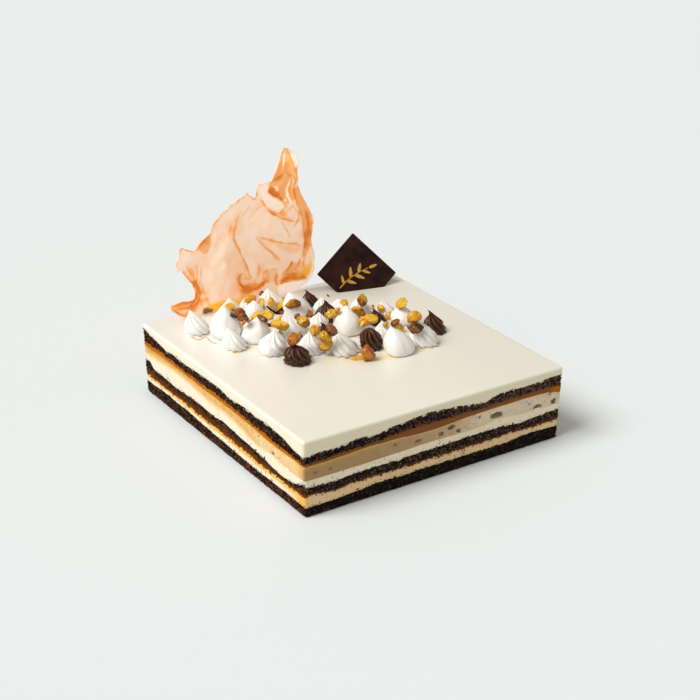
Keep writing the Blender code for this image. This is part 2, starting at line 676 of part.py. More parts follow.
def tuile_grid(outline):
    """The outline's corners, then the places of a triangular grid inside it."""
    left = min(x for x, _ in outline)
    right = max(x for x, _ in outline)
    top = max(z for _, z in outline)
    row = TUILE_GRID * math.sqrt(3) / 2
    places = list(outline)
    for j in range(int(top / row) + 1):
        for i in range(int((right - left) / TUILE_GRID) + 1):
            spot = (left + (i + (j % 2) / 2) * TUILE_GRID, j * row)
            if inside(spot, outline) and edge_distance(spot, outline) > TUILE_GRID * TUILE_EDGE_CLEAR:
                places.append(spot)
    return places


def make_tuile(finishes):
    outline = [(x * MM, z * MM) for x, z in TUILE_OUTLINE]
    count = len(outline)
    rim = [(i, (i + 1) % count) for i in range(count)]
    places = [Vector(p) for p in tuile_grid(outline)]
    flat, _, faces, _, _, _ = delaunay_2d_cdt(places, rim, [], 1, 1e-6)
    front = [Vector((p.x, tuile_depth(p.x, p.y) - TUILE_THICK / 2, HEIGHT + p.y)) for p in flat]
    back = [p + Vector((0, TUILE_THICK, 0)) for p in front]
    total = len(front)
    sheet = []
    edges = set()
    for face in faces:
        turn = (flat[face[1]] - flat[face[0]]).cross(flat[face[2]] - flat[face[0]])
        corners = tuple(face) if turn > 0 else tuple(reversed(face))
        sheet.append(corners)
        sheet.append(tuple(total + i for i in reversed(corners)))
        edges.update((a, corners[(i + 1) % 3]) for i, a in enumerate(corners))
    for a, b in sorted(edges):
        if (b, a) not in edges:
            sheet.append((b, a, total + a))
            sheet.append((b, total + a, total + b))
    return mesh_object("caramel_tuile", front + back, sheet, finishes["tuile"])


def make_cake():
    clear_scene()
    finishes = make_finishes()
    layers = make_layers(finishes)
    places = spread_kisses()
    kisses = {}
    for name in KISSES:
        slot = "chocolate" if name.startswith("chocolate") else "meringue"
        kisses[name] = make_kiss(name, places[name], finishes[slot])
    tuile = make_tuile(finishes)
    pieces = make_pieces(finishes, [tree_of(piece) for piece in (*kisses.values(), tuile)])
    make_plaque(finishes, layers["mousse_top"])
    fuse_bits(kisses, places, pieces, layers["mousse_top"], finishes)


make_cake()
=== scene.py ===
"""Looks of a square banoffee layer cake with piped kisses, nuts, a caramel tuile and a plaque.

The script follows the cake from its bottom sponge up to the toppings on its mousse.
"""
import json
import math
import random

import bpy
import numpy as np
from mathutils import Matrix, Vector, noise
from mathutils.bvhtree import BVHTree
from mathutils.geometry import intersect_point_line

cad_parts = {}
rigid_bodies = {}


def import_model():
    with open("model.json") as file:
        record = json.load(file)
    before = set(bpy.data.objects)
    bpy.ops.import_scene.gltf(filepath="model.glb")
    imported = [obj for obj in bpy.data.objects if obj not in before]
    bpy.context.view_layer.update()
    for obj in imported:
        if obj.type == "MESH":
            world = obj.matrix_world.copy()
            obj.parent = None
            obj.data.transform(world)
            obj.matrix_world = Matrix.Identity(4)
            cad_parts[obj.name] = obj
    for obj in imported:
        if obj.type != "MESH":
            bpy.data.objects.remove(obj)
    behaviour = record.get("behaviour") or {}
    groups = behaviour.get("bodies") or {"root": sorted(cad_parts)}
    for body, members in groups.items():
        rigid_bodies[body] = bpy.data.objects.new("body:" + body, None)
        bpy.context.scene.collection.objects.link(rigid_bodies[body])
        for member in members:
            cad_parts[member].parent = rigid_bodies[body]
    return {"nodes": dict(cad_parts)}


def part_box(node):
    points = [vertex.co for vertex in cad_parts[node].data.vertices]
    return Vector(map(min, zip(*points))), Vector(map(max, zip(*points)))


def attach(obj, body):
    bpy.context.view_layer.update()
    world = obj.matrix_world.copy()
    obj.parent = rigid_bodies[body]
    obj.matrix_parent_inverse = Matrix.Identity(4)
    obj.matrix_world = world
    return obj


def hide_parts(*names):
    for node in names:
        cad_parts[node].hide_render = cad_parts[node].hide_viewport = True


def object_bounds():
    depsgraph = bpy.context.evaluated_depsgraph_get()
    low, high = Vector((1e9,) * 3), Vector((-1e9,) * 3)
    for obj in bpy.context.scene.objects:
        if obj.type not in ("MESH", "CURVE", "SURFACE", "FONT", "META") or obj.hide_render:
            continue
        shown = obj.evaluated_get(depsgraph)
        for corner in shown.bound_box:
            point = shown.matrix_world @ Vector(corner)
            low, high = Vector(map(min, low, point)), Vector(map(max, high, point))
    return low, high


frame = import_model()
solid_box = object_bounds()
bpy.ops.object.select_all(action="DESELECT")


# ---- The photographer's table: a pale floor, a soft key light from the left, and a pale sky
# that fills the shadows. The camera stands off the cake's front corner and looks down on it.

MM = 0.001
VIEW_TURN = math.radians(-35.25)
VIEW_DOWN = math.radians(24.68)
VIEW_ROLL = math.radians(1.88)
VIEW_PLACE = Vector((-532.9, -756.1, 472.2)) * MM
VIEW_LENS = 79.35
VIEW_SENSOR = 36
KEY_TURN = math.radians(-97)
KEY_DOWN = math.radians(50)
KEY_SPREAD = math.radians(32)
KEY_ENERGY = 2.7
KEY_COLOR = (1.0, 0.97, 0.92)
SKY_COLOR = (0.95, 0.86, 0.72)
SKY_STRENGTH = 0.45
FLOOR_COLOR = (0.77, 0.84, 0.91)
FLOOR_SIZE = 12
FLOOR_DROP = 0.3 * MM


def look_from(place, turn, down, roll):
    """World matrix of a camera or lamp at a place, turned from +Y, tipped down and rolled."""
    aim = Matrix.Rotation(turn, 4, "Z") @ Matrix.Rotation(math.pi / 2 - down, 4, "X")
    return Matrix.Translation(place) @ aim @ Matrix.Rotation(roll, 4, "Z")


bpy.ops.object.camera_add()
camera = bpy.context.object
camera.data.lens = VIEW_LENS
camera.data.sensor_width = VIEW_SENSOR
camera.matrix_world = look_from(VIEW_PLACE, VIEW_TURN, VIEW_DOWN, VIEW_ROLL)
bpy.context.scene.camera = camera

world = bpy.data.worlds.new("studio")
bpy.context.scene.world = world
world.use_nodes = True
sky = world.node_tree.nodes["Background"]
sky.inputs["Color"].default_value = (*SKY_COLOR, 1)
sky.inputs["Strength"].default_value = SKY_STRENGTH
bpy.context.scene.view_settings.view_transform = "Standard"

bpy.ops.object.light_add(type="SUN")
key_light = bpy.context.object
key_light.name = "key_light"
key_light.data.energy = KEY_ENERGY
key_light.data.color = KEY_COLOR
key_light.data.angle = KEY_SPREAD
key_light.matrix_world = look_from(Vector((-1, 0, 1)), KEY_TURN, KEY_DOWN, 0)

bpy.ops.mesh.primitive_plane_add(size=FLOOR_SIZE, location=(0, 0, -FLOOR_DROP))
floor = bpy.context.object
floor.name = "floor"
floor_paint = bpy.data.materials.new("pale_floor")
floor_paint.use_nodes = True
floor_shader = floor_paint.node_tree.nodes["Principled BSDF"]
floor_shader.inputs["Base Color"].default_value = (*FLOOR_COLOR, 1)
floor_shader.inputs["Roughness"].default_value = 0.9
floor.data.materials.append(floor_paint)
bpy.ops.object.select_all(action="DESELECT")


# ---- Bottom sponge: a dark cocoa sheet cake cut with a hot knife, so its side is an open
# crumb of small grains with holes between them. Its edge is ragged where it meets the cream.

HALF = 100 * MM
SIDE = 2 * HALF
ROUND = 4 * SIDE / MM
CORNER = 1.6 * MM
CORNER_STEPS = 3
CAP_INSET = 12 * MM
COLUMN_GAP = 2.5
SPONGE_STEP = 0.8 * MM
SPONGE_ROW = 0.8 * MM
SPONGE_SET_BACK = 0.45
SPONGE_DEEP = 0.9
LEAN_TOP = 48.4
SEED = 11
GRAIN_SIZES = (0.38, 0.98)
GRAIN_DEPTH = 0.75
STRAY_SIZE = 0.6
STRAY_REACH = 1.1
STRAY_INSET = 0.55
HIGHEST_CRUMB = 48.5
SPONGE_DARK = (0.007, 0.0035, 0.0025)
SPONGE_LIGHT = (0.17, 0.092, 0.062)
SYRUP_BROWN = (0.17, 0.060, 0.018)
sponge_foot_lean = (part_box("sponge_bottom")[0].x + HALF) / MM


def lean_of(x, z):
    """How far the left-hand side leans in at a height, in millimetres."""
    share = max(0.0, -x / (HALF / MM)) ** 2
    return sponge_foot_lean * share * max(0.0, 1 - z / LEAN_TOP)


def rim_place(x, y):
    """Distance round the rim of a point near it, in millimetres, from the front corner."""
    half = HALF / MM
    if -y >= abs(x):
        return x + half
    if x >= abs(y):
        return 3 * half + y
    if y >= abs(x):
        return 5 * half - x
    return 7 * half - y


def outward(x, y):
    """Direction out of the cake at a point on its rim."""
    flat = HALF - CORNER
    away = Vector((x - max(-flat, min(flat, x)), y - max(-flat, min(flat, y)), 0))
    return away.normalized()


def rim_point(place, inset):
    """The point at a place round the rim, set in by some millimetres, and the way out there."""
    half = HALF / MM
    side, along = divmod(place % ROUND, 2 * half)
    along -= half
    x, y = ((along, -half), (half, along), (-along, half), (-half, -along))[int(side)]
    out = outward(x * MM, y * MM)
    flat = half - CORNER / MM
    base = Vector((max(-flat, min(flat, x)), max(-flat, min(flat, y)), 0))
    return base + out * (CORNER / MM - inset), out


def solid_rim(node):
    """Lower and upper edge of a layer's cut side, read off its solid, by place round the rim."""
    points = []
    for corner in frame["nodes"][node].data.vertices:
        x, y, z = corner.co / MM
        if max(abs(x), abs(y)) > 95:
            points.append((rim_place(x, y), z))
    points.sort()
    columns = [[points[0]]]
    for point in points[1:]:
        if point[0] - columns[-1][-1][0] > COLUMN_GAP:
            columns.append([])
        columns[-1].append(point)
    places = [sum(s for s, _ in column) / len(column) for column in columns]
    lows = [min(z for _, z in column) for column in columns]
    highs = [max(z for _, z in column) for column in columns]
    return places, lows, highs


rims = {node: solid_rim(node) for node in (
    "sponge_bottom", "cream_bottom", "sponge_middle", "cream_middle",
    "banana_filling", "caramel_layer", "sponge_top", "mousse_top")}


def low_edge(node, place):
    places, lows, _ = rims[node]
    return float(np.interp(place, places, lows, period=ROUND))


def high_edge(node, place):
    places, _, highs = rims[node]
    return float(np.interp(place, places, highs, period=ROUND))


def amount(curve, place):
    """Value at a place round the rim of a curve given as (place, value) points."""
    places, values = zip(*curve)
    return float(np.interp(place, places, values, period=ROUND))


def on_left(place):
    """1 on the left-hand side, which the caramel has coloured most, and 0 on the others."""
    return amount([(0, 0.4), (3, 0), (598, 0), (602, 1), (797, 1)], place)


def in_edit(mode):
    """Open the active piece for editing with one kind of element, and nothing selected."""
    bpy.ops.object.mode_set(mode="EDIT")
    bpy.ops.mesh.select_mode(type=mode)
    bpy.ops.mesh.select_all(action="DESELECT")
    bpy.ops.object.mode_set(mode="OBJECT")


def pick(mesh, kind, test):
    """Select the edges or faces of a mesh that pass a test, and go to edit mode."""
    for item in getattr(mesh, kind):
        item.select = test(item)
    bpy.ops.object.mode_set(mode="EDIT")


def face_outwards():
    """Turn all faces of the piece that is open for editing outwards, and close it."""
    bpy.ops.mesh.select_all(action="SELECT")
    bpy.ops.mesh.normals_make_consistent(inside=False)
    bpy.ops.object.mode_set(mode="OBJECT")


def cut_slab(name, step, rows):
    """A square sheet with small round corners, raised to a slab one unit high with even rows."""
    bpy.ops.mesh.primitive_plane_add(size=SIDE)
    slab = bpy.context.object
    slab.name = name
    bpy.ops.object.mode_set(mode="EDIT")
    bpy.ops.mesh.select_all(action="SELECT")
    bpy.ops.mesh.bevel(offset=CORNER, segments=CORNER_STEPS, affect="VERTICES")
    bpy.ops.object.mode_set(mode="OBJECT")
    in_edit("EDGE")
    mesh = slab.data
    ends = [vertex.co.copy() for vertex in mesh.vertices]
    pick(mesh, "edges", lambda e: (ends[e.vertices[0]] - ends[e.vertices[1]]).length > HALF)
    bpy.ops.mesh.subdivide(number_cuts=int(SIDE / step))
    bpy.ops.mesh.select_all(action="SELECT")
    bpy.ops.mesh.select_mode(type="FACE")
    bpy.ops.mesh.inset(thickness=CAP_INSET)
    bpy.ops.mesh.select_all(action="SELECT")
    bpy.ops.mesh.extrude_region_move(TRANSFORM_OT_translate={"value": (0, 0, 1)})
    bpy.ops.object.mode_set(mode="OBJECT")
    in_edit("EDGE")
    heights = [vertex.co.z for vertex in mesh.vertices]
    pick(mesh, "edges", lambda e: abs(heights[e.vertices[0]] - heights[e.vertices[1]]) > 0.5)
    bpy.ops.mesh.subdivide(number_cuts=rows - 1)
    face_outwards()
    return slab


def place_core(vertex, share, middle):
    """Put a point inside a layer just below or above its middle height."""
    x = vertex.co.x
    vertex.co.z = (middle - 1.0 if share < 0.5 else middle + 1.0) * MM
    vertex.co.x += lean_of(x / MM, middle) * MM


def place_side(vertex, out, inset, z):
    """Put a point of a layer's side at a height, set in from the cut and leaning with it."""
    x, y, _ = vertex.co
    vertex.co = Vector((x, y, 0)) - out * inset * MM
    vertex.co.x += lean_of(x / MM, z) * MM
    vertex.co.z = z * MM


def crag(place, seed):
    """Raggedness of a sponge's edge in millimetres: clumps of broken crumbs."""
    spot = Vector((place / 4.5, seed, 0))
    return 2.0 * noise.noise(spot) + 2.6 * noise.noise(spot * 2.7)


def bake_sponge(name, ragged_low, ragged_high, seed):
    """The body of a sponge layer: its solid's rim heights, torn edges, hollows in the side."""
    thick = (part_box(name)[1].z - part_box(name)[0].z) / MM
    slab = cut_slab("cocoa_" + name, SPONGE_STEP, max(6, int(thick / (SPONGE_ROW / MM))))
    syrup = slab.data.attributes.new("syrup", "FLOAT", "POINT")
    for vertex in slab.data.vertices:
        x, y, share = vertex.co
        place = rim_place(x / MM, y / MM)
        low = low_edge(name, place)
        high = high_edge(name, place)
        out = outward(x, y)
        if out.length < 0.5:
            place_core(vertex, share, (low + high) / 2)
            continue
        low -= ragged_low * crag(place, seed)
        high += ragged_high * crag(place, seed + 9)
        syrup.data[vertex.index].value = on_left(place)
        z = max(0.0, low + (high - low) * share)
        hollow = 0.5 + 0.5 * noise.noise(Vector((place, z, len(name))) / 1.6)
        place_side(vertex, out, SPONGE_SET_BACK + SPONGE_DEEP * hollow, z)
    slab.data.shade_smooth()
    return slab


def crumb_grains(name, node, count, ragged_low, ragged_high, strays, seed, dust_and_shade):
    """Angular crumb grains all over a sponge's side, with strays past its edges.

    The last curve shifts their tone by the place round the rim: paler with dust where it is above zero, and
    darker with painted shade where it is below.
    """
    bpy.ops.mesh.primitive_ico_sphere_add(subdivisions=1, radius=1)
    grains = bpy.context.object
    grains.name = name
    corners = np.array([vertex.co for vertex in grains.data.vertices])
    faces = np.array([face.vertices for face in grains.data.polygons])
    old = grains.data
    draw = np.random.default_rng(seed)
    points = []
    tones = []
    syrups = []
    for number in range(count + strays):
        place = draw.uniform(0, ROUND)
        low = low_edge(node, place)
        high = high_edge(node, place)
        size = draw.uniform(*GRAIN_SIZES)
        if number < count:
            rough_low = ragged_low * crag(place, seed) + ragged_low * 0.5 * draw.normal()
            rough_high = ragged_high * crag(place, seed + 9) + ragged_high * 0.5 * draw.normal()
            z = low - rough_low + (high - low + rough_low + rough_high) * draw.uniform()
            inset = size * 0.75 + draw.uniform(0, GRAIN_DEPTH)
        else:
            size *= STRAY_SIZE
            up = ragged_low == 0 or draw.uniform() < 0.55
            z = high + draw.exponential(STRAY_REACH) if up else low - draw.exponential(STRAY_REACH)
            inset = STRAY_INSET
        z = min(max(z, size + 0.05), HIGHEST_CRUMB)
        middle, _ = rim_point(place, inset)
        middle.x += lean_of(middle.x, z)
        middle.z = z
        turn = Matrix.Rotation(draw.uniform(0, 6.3), 3, Vector(draw.normal(size=3)).normalized())
        form = corners * draw.uniform(0.65, 1.3, 3) * draw.uniform(0.72, 1.12, (len(corners), 1))
        grain = form @ np.array(turn) * size + np.array(middle)
        half = HALF / MM - 0.02
        points.append(np.clip(grain, (-half, -half, 0.02), (half, half, 100)))
        tones.append(np.full(len(corners), draw.uniform() + amount(dust_and_shade, place)))
        syrups.append(np.full(len(corners), on_left(place)))
    steps = np.arange(len(points))[:, None, None] * len(corners)
    grains.data = bpy.data.meshes.new(name)
    grains.data.from_pydata(np.concatenate(points) * MM, [], (faces[None] + steps).reshape(-1, 3))
    bpy.data.meshes.remove(old)
    for note, values in (("tone", tones), ("syrup", syrups)):
        kept = grains.data.attributes.new(note, "FLOAT", "POINT")
        kept.data.foreach_set("value", np.concatenate(values))
    grains.data.shade_smooth()
    return grains


class Value:
    """A shader socket that can be used in Python sums: each sum adds its Math node."""

    def __init__(self, paint, socket):
        self.paint = paint
        self.socket = socket

    def sum(self, operation, one, other):
        return self.paint.node("Math", {0: one, 1: other}, operation=operation)

    def __add__(self, other):
        return self.sum("ADD", self, other)

    def __radd__(self, other):
        return self.sum("ADD", other, self)

    def __sub__(self, other):
        return self.sum("SUBTRACT", self, other)

    def __rsub__(self, other):
        return self.sum("SUBTRACT", other, self)

    def __mul__(self, other):
        return self.sum("MULTIPLY", self, other)

    def __rmul__(self, other):
        return self.sum("MULTIPLY", other, self)


class Paint:
    """A finish: its Principled shader and the nodes that feed it."""

    def __init__(self, name, **even):
        self.material = bpy.data.materials.new(name)
        self.material.use_nodes = True
        self.nodes = self.material.node_tree.nodes
        self.links = self.material.node_tree.links
        self.shader = self.nodes["Principled BSDF"]
        for key, value in even.items():
            self.shader.inputs[key.replace("_", " ")].default_value = value
        self.place = self.node("TexCoord", out="Object")

    def node(self, kind, sockets=None, out=0, **settings):
        """A new node: its settings first, then the values or links of its sockets."""
        made = self.nodes.new("ShaderNode" + kind)
        for key, value in settings.items():
            setattr(made, key, value)
        for key, value in (sockets or {}).items():
            self.feed(made.inputs[key], value)
        return Value(self, made.outputs[out])

    def feed(self, socket, value):
        """Link a value of this paint to a socket, or set a plain number or colour on it."""
        if isinstance(value, Value):
            self.links.new(value.socket, socket)
        elif isinstance(value, tuple) and len(value) == 3 and socket.type == "RGBA":
            socket.default_value = (*value, 1)
        else:
            socket.default_value = value

    def cloud(self, size, detail, place=None):
        """Noise from 0 to 1 whose lumps are about a size in millimetres."""
        return self.node("TexNoise", {"Vector": place or self.place, "Scale": 1000 / size,
                                      "Detail": detail})

    def cells(self, size):
        """Distance to the nearest of scattered points about a size in millimetres apart."""
        return self.node("TexVoronoi", {"Vector": self.place, "Scale": 1000 / size})

    def between(self, value, low, high):
        """0 below a low value, 1 above a high one, and smooth between them."""
        return self.node("MapRange", {"Value": value, "From Min": low, "From Max": high},
                         interpolation_type="SMOOTHSTEP")

    def mix(self, one, other, share):
        """One colour blended into another by a share."""
        return self.node("Mix", {0: share, 6: one, 7: other}, out=2, data_type="RGBA")

    def note(self, name):
        """A value that the piece's points carry."""
        return self.node("Attribute", out="Fac", attribute_name=name)

    def wear(self, color, roughness, height=None, depth=0.1, coat=None, alpha=None):
        """Link what varies: colour, roughness, and a bump whose full height is in millimetres."""
        self.feed(self.shader.inputs["Base Color"], color)
        self.feed(self.shader.inputs["Roughness"], roughness)
        if coat is not None:
            self.feed(self.shader.inputs["Coat Weight"], coat)
        if alpha is not None:
            self.feed(self.shader.inputs["Alpha"], alpha)
        if height is not None:
            bump = self.node("Bump", {"Height": height, "Distance": depth * MM, "Strength": 1.0})
            self.feed(self.shader.inputs["Normal"], bump)
        return self.material


def sponge_paint(name, stain=None):
    """Cocoa crumb: near black in the holes, which is painted shade, and dusty brown on some of the grains.
    """
    paint = Paint(name, Specular_IOR_Level=0.15)
    fine = paint.cloud(0.5, 3)
    # The body behind the grains carries no tone, so it takes the near black: painted shade in the holes
    # between them.
    tone = paint.between(paint.note("tone") + 0.4 * fine, 0.5, 1.25)
    color = paint.mix(SPONGE_DARK, paint.mix(SPONGE_LIGHT, SYRUP_BROWN, paint.note("syrup")), tone)
    if stain:
        color = paint.mix(color, stain, paint.note("stain") * (0.6 + 0.8 * fine) * 0.9)
    return paint.wear(color=color, roughness=0.55 + 0.4 * fine, height=fine, depth=0.25)


def settle_on_cake(piece, finish, slot, *nodes):
    """Give a piece its finish, tie it to the cake, and let it stand for its solids."""
    piece.data.materials.append(finish)
    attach(piece, "root")
    if nodes:
        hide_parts(*nodes)
    bpy.ops.object.select_all(action="DESELECT")


plain_crumb = sponge_paint("cocoa_crumb")
bottom_sponge = bake_sponge("sponge_bottom", 0, 1.1, SEED)
settle_on_cake(bottom_sponge, plain_crumb, "chocolate_sponge", "sponge_bottom")
# Below zero on the right-hand side, the curve paints the bottom grains darker: painted shade.
bottom_grains = crumb_grains("bottom_crumb_grains", "sponge_bottom", 6800, 0, 1.1, 500, SEED,
                             [(2, -0.3), (196, -0.3), (260, -0.1), (600, 0.05), (797, 0.05)])
settle_on_cake(bottom_grains, plain_crumb, "chocolate_sponge")


# ---- Lower cream: a thin sheet of soft cream between two sponges. The knife has dragged
# cocoa crumbs over it, and caramel from above has coloured its upper edge gold.

CREAM_STEP = 0.8 * MM
CREAM_TUCK = 2.0
TUCK_DEPTH = 0.9
SPONGE_SEAM = 0.1
LIES_ON = 0.0
RUNS_UNDER = 1.2
CREAM = (0.91, 0.83, 0.66)
BEIGE = (0.82, 0.58, 0.31)
GOLD = (0.86, 0.46, 0.055)
CRUMB_SPECK = (0.10, 0.05, 0.03)


def spread_layer(name, piece_name, rows, recess, seams, notes, dent=None):
    """A soft layer: its side a little behind the sponges, and tucked in behind their edges.

    It starts to tuck in this far past its lower and its upper edge, the two seams. A soft layer
    that lies on another hangs over the other's edge by a hair, so no gap shows between them.
    Each note is a function of the place round the rim, the height and the share of the
    layer's height, and its value is kept on the points for the layer's paint.
    """
    slab = cut_slab(piece_name, CREAM_STEP, rows)
    kept = {note: slab.data.attributes.new(note, "FLOAT", "POINT") for note in notes}
    for vertex in slab.data.vertices:
        x, y, share = vertex.co
        place = rim_place(x / MM, y / MM)
        edge_low = low_edge(name, place)
        edge_high = high_edge(name, place)
        low = edge_low - CREAM_TUCK
        high = edge_high + CREAM_TUCK
        out = outward(x, y)
        if out.length < 0.5:
            place_core(vertex, share, (low + high) / 2)
            continue
        z = low + (high - low) * share
        beyond = max(edge_low - z - seams[0], z - edge_high - seams[1])
        tuck = TUCK_DEPTH * max(0.0, min(1.0, beyond / TUCK_DEPTH))
        inset = recess + tuck + 0.2 * (0.5 + 0.5 * noise.noise(Vector((place / 7, z / 3, 5))))
        if dent:
            inset += dent(place, z)
        place_side(vertex, out, inset, z)
        part = (z - edge_low) / max(0.5, edge_high - edge_low)
        for note, function in notes.items():
            kept[note].data[vertex.index].value = function(place, z, part)
    slab.data.shade_smooth()
    return slab


def soft_paint(name, specks):
    """Soft cream: two tones, gold where caramel has run into it, and dark specks of crumb."""
    paint = Paint(name, Subsurface_Weight=0.25, Subsurface_Scale=0.004,
                  Subsurface_Radius=(1.0, 0.7, 0.45))
    soft = paint.cloud(5, 4)
    grain = paint.cloud(1.1, 4)
    color = paint.mix(CREAM, BEIGE, paint.between(paint.note("warm") + 0.5 * soft, 0.35, 1.15))
    color = paint.mix(color, GOLD, paint.between(paint.note("gold") + 0.35 * soft + 0.3 * grain, 0.5, 1.2))
    dirt = paint.between(paint.cloud(1.3, 2) + 0.12 * soft, specks, specks + 0.03)
    return paint.wear(color=paint.mix(color, CRUMB_SPECK, dirt * 0.75), roughness=0.4 + 0.2 * grain,
                      height=0.6 * grain + 0.5 * soft, depth=0.2)


lower_cream = spread_layer(
    "cream_bottom", "lower_cream", 10, 0.2, (SPONGE_SEAM, SPONGE_SEAM),
    {"warm": lambda place, z, share: amount([(0, 1.1), (40, 0.95), (150, 0.95), (195, 0.8), (400, 0.6),
                                             (600, 0.05), (700, 0.1), (775, 0.2), (790, 0.8)], place),
     "gold": lambda place, z, share: (0.15 + 0.65 * on_left(place)) * max(0.0, share - 0.45) * 2
     + amount([(0, 0.6), (6, 0), (600, 0.1), (790, 0.25), (797, 0.9)], place)})
settle_on_cake(lower_cream, soft_paint("lower_cream", 0.73), "whipped_cream", "cream_bottom")


# ---- Middle sponge: the same cocoa sheet. Caramel has soaked up into it from the cream
# below, so its lower half is a wetter, redder brown.

STAIN_COLOR = (0.21, 0.06, 0.008)


def soak(piece, node):
    """Note on each point how far caramel has soaked in: most at the sponge's lower edge."""
    note = piece.data.attributes.new("stain", "FLOAT", "POINT")
    for vertex in piece.data.vertices:
        x, y, z = vertex.co / MM
        place = rim_place(x, y)
        rise = (z - low_edge(node, place)) / (high_edge(node, place) - low_edge(node, place))
        reach = 0.25 + 0.4 * on_left(place) + 0.15 * noise.noise(Vector((place / 14, 0, 0)))
        note.data[vertex.index].value = max(0.0, min(1.0, 1.2 - rise / reach))


soaked_crumb = sponge_paint("soaked_cocoa_crumb", STAIN_COLOR)
middle_sponge = bake_sponge("sponge_middle", 0.6, 1.2, SEED + 1)
middle_grains = crumb_grains("middle_crumb_grains", "sponge_middle", 6200, 0.6, 1.2, 500, SEED + 1,
                             [(2, 0.0), (60, 0.0), (120, 0.15), (196, 0.1), (600, 0.0)])
for piece in (middle_sponge, middle_grains):
    soak(piece, "sponge_middle")
settle_on_cake(middle_sponge, soaked_crumb, "chocolate_sponge", "sponge_middle")
settle_on_cake(middle_grains, soaked_crumb, "chocolate_sponge")


# ---- Upper cream: the same soft cream, whiter than the filling that lies on it. On the left
# it reaches up almost to the caramel, which has seeped down into it.

def syrup_seep(place, z):
    """Caramel that has seeped into the cream from above, on the left-hand side."""
    reach = amount([(598, 3.5), (615, 6.5), (640, 4.0), (690, 5.5), (735, 5.0), (797, 3)], place)
    reach += 1.6 * noise.noise(Vector((place / 6, 7, 0))) + 0.8 * noise.noise(Vector((place / 1.7, 8, 0)))
    depth = high_edge("cream_middle", place) - z
    fade = amount([(598, 0), (602, 1), (745, 0.9), (765, 0.1), (790, 0)], place)
    return fade * (0.1 + 0.7 * max(0.0, 1 - depth / max(1.0, reach)))


upper_cream = spread_layer(
    "cream_middle", "upper_cream", 12, 0.28, (SPONGE_SEAM, RUNS_UNDER),
    {"warm": lambda place, z, share: 0.3 + 0.1 * share - 0.15 * on_left(place),
     "gold": lambda place, z, share: 0.25 * max(0.0, share - 0.7) + syrup_seep(place, z)})
settle_on_cake(upper_cream, soft_paint("upper_cream", 0.76), "whipped_cream", "cream_middle")


# ---- Banana filling: mashed banana in custard, with darker lumps of fruit. Caramel has run
# into it from above, most on the left-hand side.

CUSTARD = (0.40, 0.23, 0.08)
BURNT_GOLD = (0.46, 0.130, 0.002)
SEED_DOT = (0.27, 0.20, 0.09)
RIPE_FRUIT = (0.27, 0.145, 0.030)
BROWN_FRUIT = (0.06, 0.026, 0.007)
# Lumps of fruit at the cut side: place round the rim, height, length, height and darkness
FRUIT = [(110, 31.5, 6, 3, 0.8), (116, 27.5, 3.5, 2.5, 0.9), (67, 31, 5, 3, 0.4), (85, 29, 6, 2.6, 0.7),
         (102, 29, 4, 3, 0.8), (132, 32.5, 2, 1.6, 0.7), (146, 30.2, 10, 4.5, 0.75), (173, 31, 3, 1.8, 0.6),
         (180, 27, 7, 4, 0.8), (194, 28, 4, 3.5, 0.9), (190, 34, 3, 3.4, 0.4), (8, 28.8, 4, 2, 0.6),
         (26, 29.5, 1.4, 1.1, 1), (19, 28.5, 1.4, 1.1, 1), (650, 28.5, 7, 4, 0.9), (765, 28, 2.4, 1.6, 0.9),
         (781, 24.8, 3.2, 2.6, 0.8), (780, 30, 1.6, 0.8, 0.8), (762.5, 26, 3.5, 6.5, 0.3),
         (705, 28.5, 4, 2.6, 0.3), (713, 27, 2.4, 1.5, 0.25), (738, 29.3, 2.2, 1.4, 0.3),
         (741, 24.7, 3.4, 1.3, 0.3), (240, 29, 6, 3.5, 0.7), (284, 31, 4, 3, 0.6), (330, 28, 8, 4, 0.8),
         (372, 32, 3, 2, 0.7), (455, 29, 6, 4, 0.7), (520, 30.5, 4, 2.5, 0.5), (560, 27.5, 7, 3.5, 0.8)]


def fruit_at(place, z):
    """How much a point lies in a lump of fruit, from 0 to 1, and how dark that lump is."""
    best = 0.0
    dark = 0.0
    for middle, height, length, tall, deep in FRUIT:
        if abs(place - middle) > length or abs(z - height) > tall:
            continue
        blur = 0.35 * noise.noise(Vector((place / 1.7, z / 1.7, middle)))
        far = math.hypot((place - middle) * 2 / length, (z - height) * 2 / tall) + blur
        inside = max(0.0, min(1.0, (1.3 - far) / 0.6))
        if inside > best:
            best = inside
            dark = deep
    return best, dark


def bleed(place, share):
    """Caramel that has run down into the filling."""
    reach = amount([(0, 0.35), (10, 0.35), (60, 0.25), (66, 0.2), (118, 0.2), (200, 0.22), (600, 0.6),
                    (615, 0.95), (640, 0.6), (700, 0.65), (740, 0.95), (797, 1.1)], place)
    ragged = 0.16 * noise.noise(Vector((place / 6, 4, 0))) + 0.08 * noise.noise(Vector((place / 1.5, 9, 0)))
    return max(0.0, 1 - (1 - share) / (reach + ragged)) * (0.5 + 0.2 * on_left(place))


def seam_line(place, z):
    """A thin run of caramel where the filling lies on the cream, on the right-hand side."""
    along = amount([(112, 0), (118, 1), (140, 1), (144, 0), (158, 0), (161, 0.9), (176, 0.7), (180, 1),
                    (199, 1), (202, 0)], place)
    height = low_edge("banana_filling", place) + 0.4 + 0.4 * noise.noise(Vector((place / 5, 2, 0)))
    return along * max(0.0, 1 - abs(z - height) / 0.7)


def honey(place):
    """The filling's own gold on the left-hand side: full where it is thin, less near the front."""
    return amount([(598, 0), (602, 0.75), (735, 0.75), (752, 0.6), (790, 0.65), (797, 0.6),
                   (800, 0.0)], place)


